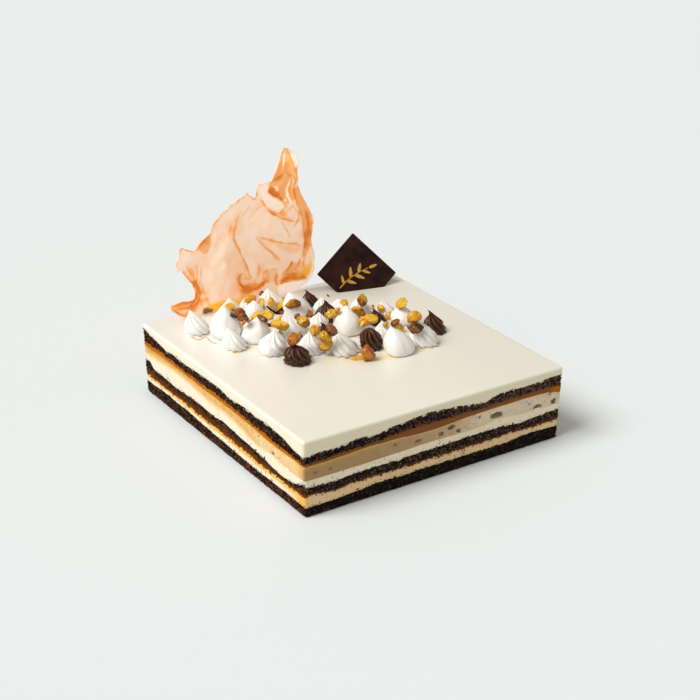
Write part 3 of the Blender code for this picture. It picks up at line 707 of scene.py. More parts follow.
banana_filling = spread_layer(
    "banana_filling", "banana_custard", 20, 0.21, (LIES_ON, RUNS_UNDER),
    {"warm": lambda place, z, share: amount([(0, 1.2), (60, 1.05), (75, 1.0), (110, 0.85), (135, 0.5),
                                             (200, 0.5), (400, 0.8), (598, 0.6), (602, 0.0), (790, 0.1)],
                                            place),
     "gold": lambda place, z, share: max(bleed(place, share), seam_line(place, z), honey(place)),
     "fruit": lambda place, z, share: math.prod(fruit_at(place, z))},
    dent=lambda place, z: 0.2 * fruit_at(place, z)[0])
filling_paint = Paint("banana_custard", Subsurface_Weight=0.2, Subsurface_Scale=0.003,
                      Subsurface_Radius=(1.0, 0.7, 0.4))
pulp = filling_paint.cloud(4, 4)
pulp_grain = filling_paint.cloud(0.9, 4)
filling_color = filling_paint.mix(CREAM, CUSTARD, filling_paint.between(
    filling_paint.note("warm") + 0.4 * pulp, 0.2, 1.4))
filling_color = filling_paint.mix(filling_color, GOLD, filling_paint.between(
    filling_paint.note("gold") + 0.25 * pulp + 0.25 * pulp_grain, 0.3, 1.3))
filling_color = filling_paint.mix(filling_color, BURNT_GOLD, filling_paint.between(
    filling_paint.note("gold") + 0.3 * pulp + 0.2 * pulp_grain, 0.85, 1.3))
filling_dots = filling_paint.between(
    filling_paint.cloud(1.5, 2) - 0.12 * filling_paint.note("warm"), 0.55, 0.66)
filling_color = filling_paint.mix(filling_color, SEED_DOT, filling_dots * 0.5)
fruit = filling_paint.note("fruit")
fruit_color = filling_paint.mix(RIPE_FRUIT, BROWN_FRUIT,
                                filling_paint.between(pulp + 0.4 * pulp_grain, 0.5, 0.9))
filling_color = filling_paint.mix(filling_color, fruit_color, filling_paint.between(
    fruit + 0.8 * (pulp_grain - 0.5), 0.12, 0.62))
mashed_banana = filling_paint.wear(
    color=filling_color, roughness=0.35 + 0.3 * pulp_grain,
    height=0.7 * pulp_grain + 0.6 * pulp - 0.5 * fruit, depth=0.35)
settle_on_cake(banana_filling, mashed_banana, "banana_custard", "banana_filling")


# ---- Caramel: a soft milk caramel spread under the top sponge. It is thick and reddish in
# the middle of the right-hand side and runs out golden on the left.

AMBER = (0.235, 0.095, 0.022)
TERRACOTTA = (0.235, 0.088, 0.03)
TOFFEE_FLECK = (0.10, 0.045, 0.015)


def running_out(place, share):
    """How far the caramel has run out pale, at its lower edge on the left-hand side."""
    reach = 0.45 + 0.35 * noise.noise(Vector((place / 7, 3, 0)))
    reach += 0.2 * noise.noise(Vector((place / 1.8, 5, 0)))
    return on_left(place) * max(0.0, 1 - share / max(0.15, reach))


caramel_layer = spread_layer(
    "caramel_layer", "soft_caramel", 12, 0.15, (LIES_ON, SPONGE_SEAM),
    {"warm": lambda place, z, share: amount([(0, 1.1), (12, 0.7), (58, 0.7), (68, 1.4), (118, 1.4),
                                             (126, 0.8), (195, 0.6), (260, 1.2), (400, 0.6), (500, 1.2),
                                             (598, 0.6), (602, 0.15), (720, 0.3), (797, 0.7)], place),
     "gold": lambda place, z, share: amount([(0, 0.2), (6, 0), (188, 0), (194, 0.7), (199, 0.8), (204, 0.2),
                                             (598, 0), (602, 1.1), (797, 1.2)], place),
     "pale": lambda place, z, share: running_out(place, share)})
caramel_paint = Paint("soft_caramel", Subsurface_Weight=0.2, Subsurface_Scale=0.003,
                      Subsurface_Radius=(1.0, 0.5, 0.2), Specular_IOR_Level=0.03)
toffee = caramel_paint.cloud(4, 4)
toffee_grain = caramel_paint.cloud(0.9, 4)
caramel_color = caramel_paint.mix(AMBER, TERRACOTTA, caramel_paint.between(
    caramel_paint.note("warm") + 0.5 * toffee, 0.7, 1.5))
caramel_color = caramel_paint.mix(caramel_color, BURNT_GOLD, caramel_paint.between(
    caramel_paint.note("gold") + 0.4 * toffee + 0.3 * toffee_grain, 0.5, 1.05))
caramel_color = caramel_paint.mix(caramel_color, GOLD, caramel_paint.between(
    caramel_paint.note("pale") + 0.3 * (toffee_grain - 0.5), 0.05, 0.95))
caramel_color = caramel_paint.mix(caramel_color, TOFFEE_FLECK, caramel_paint.between(
    caramel_paint.cloud(1.4, 2), 0.68, 0.73) * 0.6)
milk_caramel = caramel_paint.wear(
    color=caramel_color, roughness=0.3 + 0.3 * toffee_grain,
    height=0.6 * toffee_grain + 0.6 * toffee, depth=0.3)
settle_on_cake(caramel_layer, milk_caramel, "soft_caramel", "caramel_layer")


# ---- Top sponge: the same cocoa sheet, torn up by the palette knife, so its upper edge is
# the most ragged. The mousse has sunk into its gaps.

top_sponge = bake_sponge("sponge_top", 0.7, 1.5, SEED + 2)
settle_on_cake(top_sponge, plain_crumb, "chocolate_sponge", "sponge_top")
top_grains = crumb_grains("top_crumb_grains", "sponge_top", 6200, 0.7, 1.5, 700, SEED + 2,
                          [(2, -0.1), (50, -0.05), (120, 0.22), (190, 0.35), (260, 0.1), (600, 0.0)])
settle_on_cake(top_grains, plain_crumb, "chocolate_sponge")


# ---- Mousse: a white chocolate mousse, smoothed with a palette knife. It is ivory and
# glossy on top, its edges are round, and the knife has left faint marks on it.

MOUSSE_LINES = 132
MOUSSE_ROUND = 1.7
MOUSSE_ROUND_LINES = 6
MOUSSE_ROWS = 9
MOUSSE_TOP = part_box("meringue_star_04")[0].z / MM - 0.3
MOUSSE_SKIN = 0.25
COOL_IVORY = (0.88, 0.885, 0.86)
WARM_IVORY = (0.855, 0.845, 0.78)
SHADED_IVORY = (0.79, 0.785, 0.735)
# The cut side is painted with warm reflected light, and with shade on the right-hand side:
SIDE_IVORY_WARM_BOUNCE = (0.87, 0.81, 0.65)
SIDE_IVORY_WARM_SHADE = (0.80, 0.73, 0.53)
SYRUP_YELLOW = (0.84, 0.70, 0.38)
# Syrup that has run off the toppings: middle, reach in millimetres, and how strong it is
SYRUP_SPOTS = [
    (-71, 29, 6, 0.5), (-65, 29, 5, 0.9), (-58, 30, 5, 0.9), (-59, 15, 5, 0.5), (-51, 5, 5, 0.5),
    (-47, -6, 6, 0.4), (-34, -4, 6, 0.5), (-24, -12, 6, 0.5), (-16, -18, 7, 0.6), (-6, -24, 8, 0.6),
    (5, -26, 8, 0.6), (14, -30, 7, 0.7), (20, -29, 6, 0.6), (29, -25, 6, 0.6), (36, -30, 6, 0.7),
    (46, -30, 6, 0.6), (84, 68, 9, 0.35), (-20, -30, 16, 0.2), (-40, -20, 14, 0.2)]
# Marks of the knife: where each starts and ends, and its width, in millimetres
MOUSSE_MARKS = [((-70, -78), (60, -92), 1.2), ((-88, 60), (-84, -70), 0.9),
                ((-30, -60), (70, -30), 1.1), ((-60, -90), (-86, -50), 1.0), ((20, -86), (88, -70), 0.9)]


def mark_height(x, y):
    """A knife mark's low ridge, in millimetres."""
    height = 0.0
    for (ax, ay), (bx, by), width in MOUSSE_MARKS:
        length = math.hypot(bx - ax, by - ay)
        along = ((x - ax) * (bx - ax) + (y - ay) * (by - ay)) / length
        bow = 0.04 * length * math.sin(math.pi * max(0.0, min(1.0, along / length)))
        across = ((x - ax) * (by - ay) - (y - ay) * (bx - ax)) / length - bow
        fade = max(0.0, 1 - ((along / length - 0.5) / 0.5) ** 4)
        height += 0.09 * fade * math.exp(-(across / width) ** 2)
    return height


def mousse_shape(x, y):
    """A point of the flat sheet laid over the cake's top and its round edge, in millimetres."""
    flat = HALF / MM - MOUSSE_ROUND
    over_x = max(0.0, abs(x) - flat)
    over_y = max(0.0, abs(y) - flat)
    ring = max(over_x, over_y) / MOUSSE_ROUND
    if ring == 0:
        swell = 0.12 * noise.noise(Vector((x / 28, y / 28, 3))) + mark_height(x, y)
        return Vector((x, y, MOUSSE_TOP - MOUSSE_SKIN + swell))
    reach = MOUSSE_ROUND * math.sin(ring * math.pi / 2)
    way = Vector((over_x, over_y)).normalized()
    px = math.copysign(min(abs(x), flat) + way.x * reach, x)
    py = math.copysign(min(abs(y), flat) + way.y * reach, y)
    fall = MOUSSE_ROUND * (1 - math.cos(ring * math.pi / 2))
    return Vector((px, py, MOUSSE_TOP - MOUSSE_SKIN - fall))


def even_line(t):
    """Grid lines gathered in the round edge: from -1..1 to millimetres."""
    lines = abs(t) * MOUSSE_LINES / 2
    inner = MOUSSE_LINES / 2 - MOUSSE_ROUND_LINES
    flat = HALF / MM - MOUSSE_ROUND
    if lines <= inner:
        return math.copysign(flat * lines / inner, t)
    return math.copysign(flat + MOUSSE_ROUND * (lines - inner) / MOUSSE_ROUND_LINES, t)


bpy.ops.mesh.primitive_grid_add(x_subdivisions=MOUSSE_LINES, y_subdivisions=MOUSSE_LINES, size=2)
mousse = bpy.context.object
mousse.name = "white_mousse"
in_edit("EDGE")
ends = [vertex.co.copy() for vertex in mousse.data.vertices]
pick(mousse.data, "edges", lambda edge: all(
    max(abs(ends[number].x), abs(ends[number].y)) > 0.999 for number in edge.vertices))
for _ in range(MOUSSE_ROWS):
    bpy.ops.mesh.extrude_region_move(TRANSFORM_OT_translate={"value": (0, 0, -1)})
bpy.ops.mesh.edge_face_add()
face_outwards()
for vertex in mousse.data.vertices:
    x, y, drop = vertex.co
    point = mousse_shape(even_line(x), even_line(y))
    if drop < -0.5:
        place = rim_place(point.x, point.y)
        low = low_edge("mousse_top", place) - CREAM_TUCK
        z = point.z + (low - point.z) * (-drop / MOUSSE_ROWS)
        out = outward(point.x * MM, point.y * MM)
        point.z = z
        beyond = low + CREAM_TUCK + 0.3 - z
        point -= out * (TUCK_DEPTH * max(0.0, min(1.0, beyond / TUCK_DEPTH)))
        point -= out * 0.15 * (0.5 + 0.5 * noise.noise(Vector((place / 9, z / 5, 2))))
    point.x += lean_of(point.x, point.z)
    vertex.co = point * MM
mousse.data.shade_smooth()
ran_off = mousse.data.attributes.new("syrup", "FLOAT", "POINT")
for vertex in mousse.data.vertices:
    x, y, z = vertex.co / MM
    total = sum(strong * math.exp(-((x - mx) ** 2 + (y - my) ** 2) / reach ** 2)
                for mx, my, reach, strong in SYRUP_SPOTS)
    ran_off.data[vertex.index].value = total * (z > MOUSSE_TOP - 2)
mousse_paint = Paint("white_mousse", Coat_Roughness=0.12, Subsurface_Weight=0.2,
                     Subsurface_Scale=0.004, Subsurface_Radius=(1.0, 0.8, 0.5))
across = mousse_paint.node("SeparateXYZ", {0: mousse_paint.place}, out="X")
deep = mousse_paint.node("SeparateXYZ", {0: mousse_paint.place}, out="Y")
upward = mousse_paint.node("SeparateXYZ", {0: mousse_paint.place}, out="Z")
uneven = 0.3 * mousse_paint.cloud(70, 2)
ivory = mousse_paint.mix(COOL_IVORY, WARM_IVORY,
                         mousse_paint.between(across * 2.5 - deep * 3.0 + uneven, -0.3, 0.35))
ivory = mousse_paint.mix(ivory, SHADED_IVORY, mousse_paint.between(across + 0.1 * uneven, 0.0, 0.1))
# The cut side is a warmer ivory than the top, painted warm reflected light, and darker on the right-hand
# side, painted shade.
cut_side = mousse_paint.between(upward, MOUSSE_TOP * MM, (MOUSSE_TOP - 2.5) * MM)
right_side = mousse_paint.between(deep, -97 * MM, -99 * MM)
side_painted_light = mousse_paint.mix(SIDE_IVORY_WARM_BOUNCE, SIDE_IVORY_WARM_SHADE, right_side)
ivory = mousse_paint.mix(ivory, side_painted_light, cut_side)
syrup_stain = mousse_paint.note("syrup") * (0.5 + mousse_paint.cloud(6, 4))
ivory = mousse_paint.mix(ivory, SYRUP_YELLOW, mousse_paint.between(syrup_stain, 0.1, 1.3))
smear = mousse_paint.node("Mapping", {0: mousse_paint.place, "Scale": (0.12, 1.0, 1.0),
                                      "Rotation": (0, 0, 0.5)}, vector_type="POINT")
strokes = mousse_paint.cloud(5, 3, place=smear)
smoothed_mousse = mousse_paint.wear(
    color=ivory, roughness=0.24 + 0.14 * strokes, coat=0.35,
    height=0.6 * strokes + 0.25 * mousse_paint.cloud(1.2, 2), depth=0.12)
settle_on_cake(mousse, smoothed_mousse, "white_mousse", "mousse_top")


# ---- Meringue stars: egg white whipped with sugar, piped through a star nozzle with a turn
# of the hand, so the pleats swirl, then pulled up to a tip and dried in a cool oven.

STAR_COLUMNS = 120
STAR_FOOT = 0.88
KISS_SINK = 0.5
SHADED_WHITE = (0.86, 0.845, 0.815)
WHITE = (0.95, 0.95, 0.945)
# Outline of a kiss: share of its height, and its radius there as a share of its widest
STAR_RINGS = [(0.0, 0.88), (0.025, 0.96), (0.07, 1.0), (0.14, 1.01), (0.22, 0.99), (0.30, 0.955),
              (0.38, 0.905), (0.46, 0.835), (0.54, 0.74), (0.62, 0.63), (0.69, 0.52), (0.76, 0.41),
              (0.82, 0.31), (0.88, 0.21), (0.93, 0.125), (0.97, 0.06), (1.0, 0.015)]


def kiss_stand(node, foot):
    """Where a kiss stands, read off its solid: base middle, radius and tip, in millimetres."""
    corners = [vertex.co / MM for vertex in frame["nodes"][node].data.vertices]
    low = min(corner.z for corner in corners)
    base = [corner for corner in corners if corner.z < low + 0.05]
    middle = sum(base, Vector()) / len(base)
    radius = max((corner - middle).length for corner in base) / foot
    return middle, radius, max(corners, key=lambda corner: corner.z)


def pleat(turns):
    """Radius share across one pleat: a long back, a sharp crest, and a short steep side."""
    part = turns % 1.0
    return min(part / 0.7, (1 - part) / 0.3) ** 1.15


def stack_rings(columns, count):
    """A closed round bar of rings one unit apart, whose points are then put in place."""
    bpy.ops.mesh.primitive_circle_add(vertices=columns, radius=1, fill_type="NGON")
    bar = bpy.context.object
    bpy.ops.object.mode_set(mode="EDIT")
    bpy.ops.mesh.select_all(action="SELECT")
    for _ in range(count - 1):
        bpy.ops.mesh.extrude_region_move(TRANSFORM_OT_translate={"value": (0, 0, 1)})
    face_outwards()
    return bar


def pipe_kiss(node, rings, foot, columns, depth, twist, wobble, hook):
    """A kiss piped up ring by ring, leaning over to its tip."""
    middle, radius, tip = kiss_stand(node, foot)
    lean = tip - middle
    kiss = stack_rings(columns, len(rings))
    kiss.name = "piped_" + node
    draw = random.Random(SEED + sum(map(ord, node)))
    start = draw.uniform(0, 1)
    seed = draw.uniform(0, 50)
    pleats = draw.choice((8, 9, 9, 10))
    own_twist = twist * draw.uniform(0.7, 1.35)
    squash_turn = draw.uniform(0, math.pi)
    groove = kiss.data.attributes.new("groove", "FLOAT", "POINT")
    for vertex in kiss.data.vertices:
        share, width = rings[round(vertex.co.z)]
        angle = math.atan2(vertex.co.y, vertex.co.x)
        reach = radius * width * (1 + 0.03 * math.cos(2 * (angle - squash_turn)))
        fold = 1.0
        drop = 0.0
        if depth:
            swirl = own_twist * (share + 0.35 * math.sin(math.pi * share))
            turns = pleats * (angle / (2 * math.pi) + swirl + start)
            fold = pleat(turns)
            own = 1 + 0.4 * noise.noise(Vector((math.floor(turns % pleats) * 3.1, seed, share * 1.5)))
            reach *= 1 - depth * own * (1 - fold) * (0.8 + 0.5 * share)
            drop = 0.35 * own * fold * math.sin(math.pi * min(1.0, share * 2.2)) * depth * radius
        spot = Vector((math.cos(angle), math.sin(angle), share * 1.8)) * 1.1 + Vector((seed, 0, 0))
        reach *= 1 + wobble * noise.noise(spot) + 0.35 * wobble * noise.noise(spot * 3.2)
        bend = share ** 1.5
        curl = hook * max(0.0, (share - 0.8) / 0.2) ** 2
        lift = 0.5 * wobble * noise.noise(spot * 1.3 + Vector((0, 9, 0))) * radius * share
        vertex.co = Vector((middle.x + lean.x * bend - 0.81 * curl + math.cos(angle) * reach,
                            middle.y + lean.y * bend + 0.58 * curl + math.sin(angle) * reach,
                            middle.z - KISS_SINK + (lean.z + KISS_SINK) * share
                            + (lift - drop) * (0.02 < share < 0.95))) * MM
        groove.data[vertex.index].value = fold
    kiss.data.shade_smooth()
    return kiss


def nodes_named(start):
    """The frame's solids whose names start with a word, in order."""
    return sorted(node for node in frame["nodes"] if node.startswith(start))


meringue_paint = Paint("dried_meringue", Subsurface_Weight=0.4, Subsurface_Scale=0.004,
                       Subsurface_Radius=(1.0, 0.85, 0.7))
pores = meringue_paint.between(meringue_paint.cells(3.4), 0.0, 0.13)
meringue_color = meringue_paint.mix(SHADED_WHITE, WHITE, meringue_paint.between(
    meringue_paint.note("groove"), -0.15, 0.42))
dried_meringue = meringue_paint.wear(
    color=meringue_color, roughness=0.42 + 0.2 * meringue_paint.cloud(3, 3),
    height=0.5 * meringue_paint.cloud(1.1, 3) + 0.5 * pores, depth=0.12)

for node in nodes_named("meringue_star"):
    kiss = pipe_kiss(node, STAR_RINGS, STAR_FOOT, STAR_COLUMNS, depth=0.28, twist=0.17,
                     wobble=0.11, hook=0.4)
    settle_on_cake(kiss, dried_meringue, "meringue", node)


# ---- Meringue drops: the same meringue piped through a plain round nozzle, so they are
# smooth. They are pulled up to a tip in the same way.

DROP_RINGS = [(0.0, 0.84), (0.03, 0.92), (0.08, 0.98), (0.16, 1.01), (0.26, 1.0), (0.36, 0.965),
              (0.46, 0.90), (0.55, 0.81), (0.63, 0.71), (0.71, 0.59), (0.78, 0.47), (0.84, 0.36),
              (0.89, 0.265), (0.935, 0.175), (0.97, 0.095), (1.0, 0.02)]
DROP_FOOT = 0.86
DROP_COLUMNS = 72

for node in nodes_named("meringue_drop"):
    kiss = pipe_kiss(node, DROP_RINGS, DROP_FOOT, DROP_COLUMNS, depth=0, twist=0,
                     wobble=0.13, hook=0.4)
    settle_on_cake(kiss, dried_meringue, "meringue", node)


# ---- Chocolate stars: the same shape piped in dark chocolate cream, which keeps a soft
# gloss. Two of them are blunt, with hardly a tip.

BLUNT_FOOT = 0.82
CHOCOLATE_RINGS = [(0.0, 0.86), (0.03, 0.95), (0.09, 1.0), (0.17, 1.0), (0.26, 0.96), (0.35, 0.90),
                   (0.43, 0.82), (0.51, 0.71), (0.58, 0.58), (0.65, 0.45), (0.71, 0.34), (0.77, 0.245),
                   (0.83, 0.17), (0.89, 0.12), (0.95, 0.075), (1.0, 0.02)]
BLUNT_RINGS = [(0.0, 0.80), (0.04, 0.90), (0.10, 0.96), (0.20, 1.0), (0.32, 1.0), (0.44, 0.97),
               (0.55, 0.91), (0.65, 0.83), (0.74, 0.72), (0.82, 0.58), (0.88, 0.44), (0.93, 0.30),
               (0.97, 0.16), (1.0, 0.03)]
BLUNT_STARS = ("chocolate_star_01", "chocolate_star_02")
# The pleats' grooves are painted near black, painted shade, and their crests a lighter cocoa, the
# chocolate's colour with a painted highlight.
GROOVE_SHADE_COCOA = (0.007, 0.003, 0.002)
COCOA_WITH_CREST_HIGHLIGHT = (0.135, 0.042, 0.016)
chocolate_paint = Paint("piped_chocolate", Specular_IOR_Level=0.32)
cocoa = chocolate_paint.mix(GROOVE_SHADE_COCOA, COCOA_WITH_CREST_HIGHLIGHT, chocolate_paint.between(
    chocolate_paint.note("groove"), 0.05, 1.0))
piped_chocolate = chocolate_paint.wear(
    color=cocoa, roughness=0.14 + 0.2 * chocolate_paint.cloud(2.2, 3),
    height=chocolate_paint.cloud(1.2, 2), depth=0.08)

for node in nodes_named("chocolate_star"):
    if node in BLUNT_STARS:
        kiss = pipe_kiss(node, BLUNT_RINGS, BLUNT_FOOT, STAR_COLUMNS, depth=0.31, twist=0.22,
                         wobble=0.12, hook=0.6)
    else:
        kiss = pipe_kiss(node, CHOCOLATE_RINGS, STAR_FOOT, STAR_COLUMNS, depth=0.31, twist=0.18,
                         wobble=0.12, hook=1.4)
    settle_on_cake(kiss, piped_chocolate, "dark_chocolate", node)


# ---- Nuts: roasted almond and peanut pieces turned in syrup, golden where they are split
# and brown where the skin is still on. They are stuck to the kisses, with crumbs around them.

WELD = 0.02 * MM
SKINNED = ("nut_01", "nut_04", "nut_06", "nut_09", "nut_10")


def shape_from_solid(node, name, level):
    """A copy of a node's solid, merged and smoothed, to be worked on."""
    bpy.ops.mesh.primitive_cube_add(size=1)
    piece = bpy.context.object
    piece.name = name
    old = piece.data
    piece.data = frame["nodes"][node].data.copy()
    bpy.data.meshes.remove(old)
    piece.data.materials.clear()
    bpy.ops.object.mode_set(mode="EDIT")
    bpy.ops.mesh.select_all(action="SELECT")
    bpy.ops.mesh.remove_doubles(threshold=WELD)
    bpy.ops.object.mode_set(mode="OBJECT")
    if level:
        smooth = piece.modifiers.new("smooth", "SUBSURF")
        smooth.levels = level
        smooth.render_levels = level
        bpy.ops.object.modifier_apply(modifier="smooth")
    return piece


def chop(piece, seed, cuts, lump, depth, taper=0.0):
    """Chopped nut or broken sugar: knobbly, with flat faces where the knife went through."""
    draw = random.Random(SEED + seed)
    mesh = piece.data
    places = [vertex.co / MM for vertex in mesh.vertices]
    middle = sum(places, Vector()) / len(places)
    shift = Vector((draw.uniform(0, 90), 0, 0))
    planes = []
    for _ in range(cuts):
        aim = Vector((-0.5, -0.7, 0.5)) + 1.3 * Vector([draw.uniform(-1, 1) for _ in range(3)])
        aim.normalize()
        planes.append((aim, draw.uniform(0.5, 0.8) * max((place - middle).dot(aim) for place in places)))
    split = mesh.attributes.new("split", "FLOAT", "POINT")
    tone = mesh.attributes.new("tone", "FLOAT", "POINT")
    hollow = mesh.attributes.new("hollow", "FLOAT", "POINT")
    turned = [vertex.normal.z for vertex in mesh.vertices]
    own_tone = draw.random()
    low = min(place.z for place in places)
    high = max(place.z for place in places)
    for vertex, place in zip(list(mesh.vertices), places):
        spot = place + shift
        ridge = 1 - 2 * abs(noise.noise(spot / (lump * 0.55)))
        step = depth * (0.9 * noise.noise(spot / lump) + 0.5 * ridge) + 0.15 * noise.noise(spot / 0.8)
        moved = place + vertex.normal * step
        narrow = 1 - taper * ((place.z - low) / (high - low) - 0.35)
        moved.x = middle.x + (moved.x - middle.x) * narrow
        moved.y = middle.y + (moved.y - middle.y) * narrow
        flat_share = 0.0
        for aim, keep in planes:
            over = (moved - middle).dot(aim) - keep - 0.25 * noise.noise(spot / 1.5)
            if over > -0.2:
                flat_share = max(flat_share, min(1.0, (over + 0.2) / 0.35))
            if over > 0:
                moved -= aim * over
        vertex.co = moved * MM
        split.data[vertex.index].value = flat_share
        tone.data[vertex.index].value = own_tone
        # The hollow note marks the hollows and the underside, where the paint lays painted shade.
        hollow.data[vertex.index].value = (max(0.0, -step / depth) * (1 - flat_share)
                                           + 0.6 * max(0.0, 0.1 - turned[vertex.index]))
    mesh.shade_smooth()


def nut_paint(name, flesh, pale, painted_shade, skin, skin_from, gloss):
    """Nut flesh in syrup: paler where it is split, with painted shade in its folds and on its underside, and
    with bits of skin.
    """
    paint = Paint(name, Coat_Roughness=0.06, Specular_IOR_Level=0.3, Subsurface_Weight=0.2,
                  Subsurface_Scale=0.002, Subsurface_Radius=(1.0, 0.6, 0.2))
    grain = paint.cloud(1.4, 4)
    lumps = paint.cloud(4.0, 3)
    own = paint.note("tone")
    color = paint.mix(flesh, pale, paint.between(paint.note("split") * 0.8 + 0.5 * lumps, 0.3, 0.95))
    color = paint.mix(color, flesh, 0.5 * paint.between(grain, 0.5, 0.7))
    # Painted shade in the hollows and on the underside.
    color = paint.mix(color, painted_shade, 0.85 * paint.between(
        paint.note("hollow") + 0.4 * (grain - 0.5), 0.1, 0.7))
    skinned = paint.between(paint.cloud(5.5, 3) + 0.2 * grain + 0.16 * own - 0.25 * paint.note("split"),
                            skin_from, skin_from + 0.09)
    color = paint.mix(color, skin, skinned * 0.9)
    return paint.wear(color=color, roughness=0.25 + 0.3 * grain, coat=gloss,
                      height=0.7 * grain + 0.3 * paint.cells(1.0), depth=0.3)


golden_nut = nut_paint("golden_nut", flesh=(0.68, 0.33, 0.010), pale=(0.88, 0.55, 0.05),
                       painted_shade=(0.30, 0.10, 0.006), skin=(0.20, 0.065, 0.012),
                       skin_from=0.80, gloss=0.4)
skinned_nut = nut_paint("skinned_nut", flesh=(0.50, 0.22, 0.010), pale=(0.76, 0.43, 0.04),
                        painted_shade=(0.18, 0.055, 0.006), skin=(0.17, 0.050, 0.008),
                        skin_from=0.68, gloss=0.4)
for number, node in enumerate(nodes_named("nut")):
    nut = shape_from_solid(node, "roasted_" + node, 2)
    chop(nut, number, cuts=1 + number % 2, lump=3.0, depth=1.1)
    settle_on_cake(nut, skinned_nut if node in SKINNED else golden_nut, "roasted_nut", node)

praline_finish = nut_paint("praline_crust", flesh=(0.11, 0.026, 0.004), pale=(0.32, 0.10, 0.010),
                           painted_shade=(0.05, 0.012, 0.003), skin=(0.045, 0.012, 0.005),
                           skin_from=0.62, gloss=0.5)
for number, node in enumerate(nodes_named("praline")):
    praline = shape_from_solid(node, "brittle_" + node, 2)
    chop(praline, number + 30, cuts=3, lump=2.2, depth=1.1)
    settle_on_cake(praline, praline_finish, "brown_praline", node)

caramel_finish = nut_paint("amber_caramel", flesh=(0.37, 0.090, 0.002), pale=(0.60, 0.21, 0.004),
                           painted_shade=(0.20, 0.04, 0.002), skin=(0.24, 0.05, 0.004),
                           skin_from=0.78, gloss=0.6)
for number, node in enumerate(("caramel_01", "caramel_02")):
    amber = shape_from_solid(node, "amber_" + node, 2)
    chop(amber, number + 40, cuts=3, lump=2.3, depth=1.3, taper=0.6 + 0.6 * number)
    settle_on_cake(amber, caramel_finish, "clear_caramel", node)

# Small bits, by the place in the photo where each shows: across, down, then its length, width
# and height in millimetres, and its turn in the picture in degrees
BITS = {
    "nut_bits": [
        (229.6, 307.2, 6.3, 5.6, 5.2, 10), (250.0, 296.3, 9.0, 5.0, 4.0, 15),
        (261.6, 304.5, 8.5, 3.8, 4.0, 80), (271.4, 302.6, 7.2, 4.2, 3.6, 100),
        (279.3, 306.3, 9.5, 4.0, 4.0, 52), (283.6, 299.8, 5.0, 4.0, 3.6, 20),
        (256.9, 315.2, 6.5, 5.0, 4.6, 40), (280.8, 318.4, 7.6, 3.6, 3.6, 8),
        (281.4, 331.2, 4.0, 3.6, 3.2, 30), (299.4, 332.6, 4.2, 1.3, 1.3, 78),
        (343.9, 302.9, 5.6, 5.0, 4.6, 0), (380.9, 308.3, 6.0, 4.2, 4.0, 120),
        (388.7, 316.9, 7.0, 4.8, 3.0, 75), (385.6, 324.5, 4.0, 3.6, 3.4, 60),
        (356.6, 359.0, 8.3, 3.8, 2.4, 18), (241.2, 325.4, 5.4, 2.2, 2.0, 34),
        (364.2, 323.6, 6.4, 3.8, 3.6, 12), (371.8, 307.3, 3.2, 2.6, 2.4, 0),
        (337.5, 310.2, 4.0, 3.2, 3.0, 30), (251.5, 318.6, 3.2, 2.4, 2.2, 50)],
    "skin_bits": [
        (254.9, 298.1, 4.8, 3.6, 3.4, 25), (262.2, 289.6, 4.6, 3.6, 3.2, 0),
        (262.6, 318.6, 8.0, 3.6, 3.4, -34), (282.9, 312.8, 6.0, 4.6, 4.0, 20),
        (297.4, 316.7, 4.4, 3.6, 3.4, 60), (328.4, 296.0, 3.8, 1.4, 1.4, -40),
        (395.2, 322.2, 6.6, 4.0, 3.8, 35), (261.2, 300.3, 3.4, 2.8, 2.4, 0),
        (245.0, 316.6, 4.6, 3.0, 2.8, -50), (249.6, 321.6, 3.4, 2.6, 2.4, 20),
        (372.0, 306.2, 2.8, 1.6, 1.5, 30)],
    "amber_bits": [
        (308.9, 314.6, 6.2, 5.2, 5.4, 70), (300.9, 337.2, 3.6, 1.6, 1.6, 60),
        (244.6, 321.9, 4.2, 2.0, 1.8, 40)],
    # Of the two dark sticks on one slant, one is a bit of chocolate and the other fills the black shadow
    # beside it; the third fills a dark gap between the toppings. Those two are painted shadow, and all three
    # are near black, for they carry no pleats.
    "chocolate_sticks": [
        (270.6, 309.4, 9.0, 1.3, 1.3, -38), (275.4, 312.6, 8.0, 1.3, 1.3, -30),
        (270.4, 325.6, 7.0, 2.6, 2.6, -12)],
}
BIT_SINK = 0.3
STICK_EDGE = 1.3
PHOTO_SIDE = 700
bit_finish = {"nut_bits": golden_nut, "skin_bits": praline_finish, "amber_bits": caramel_finish,
              "chocolate_sticks": piped_chocolate}
bit_slot = {"nut_bits": "roasted_nut", "skin_bits": "brown_praline", "amber_bits": "clear_caramel",
            "chocolate_sticks": "dark_chocolate"}
topping_corners = []
topping_faces = []
for piece in bpy.data.objects:
    if piece.name.startswith(("piped_", "roasted_", "brittle_", "amber_", "white_mousse")):
        start = len(topping_corners)
        topping_corners += [vertex.co / MM for vertex in piece.data.vertices]
        topping_faces += [[start + number for number in face.vertices] for face in piece.data.polygons]
toppings = BVHTree.FromPolygons(topping_corners, topping_faces)
view_axes = camera.matrix_world.to_3x3().col
view_side, view_up, view_back = (view_axes[number].normalized() for number in range(3))
eye = VIEW_PLACE / MM


def sight(px, py):
    """The way from the camera to what shows at a place in the photo."""
    across = view_side * (px - PHOTO_SIDE / 2) - view_up * (py - PHOTO_SIDE / 2)
    return across * VIEW_SENSOR / PHOTO_SIDE / VIEW_LENS - view_back


def join_parts(parts, name):
    """Join pieces into the first of them."""
    bpy.ops.object.select_all(action="DESELECT")
    for part in parts:
        part.select_set(True)
    bpy.context.view_layer.objects.active = parts[0]
    bpy.ops.object.join()
    parts[0].name = name
    return parts[0]


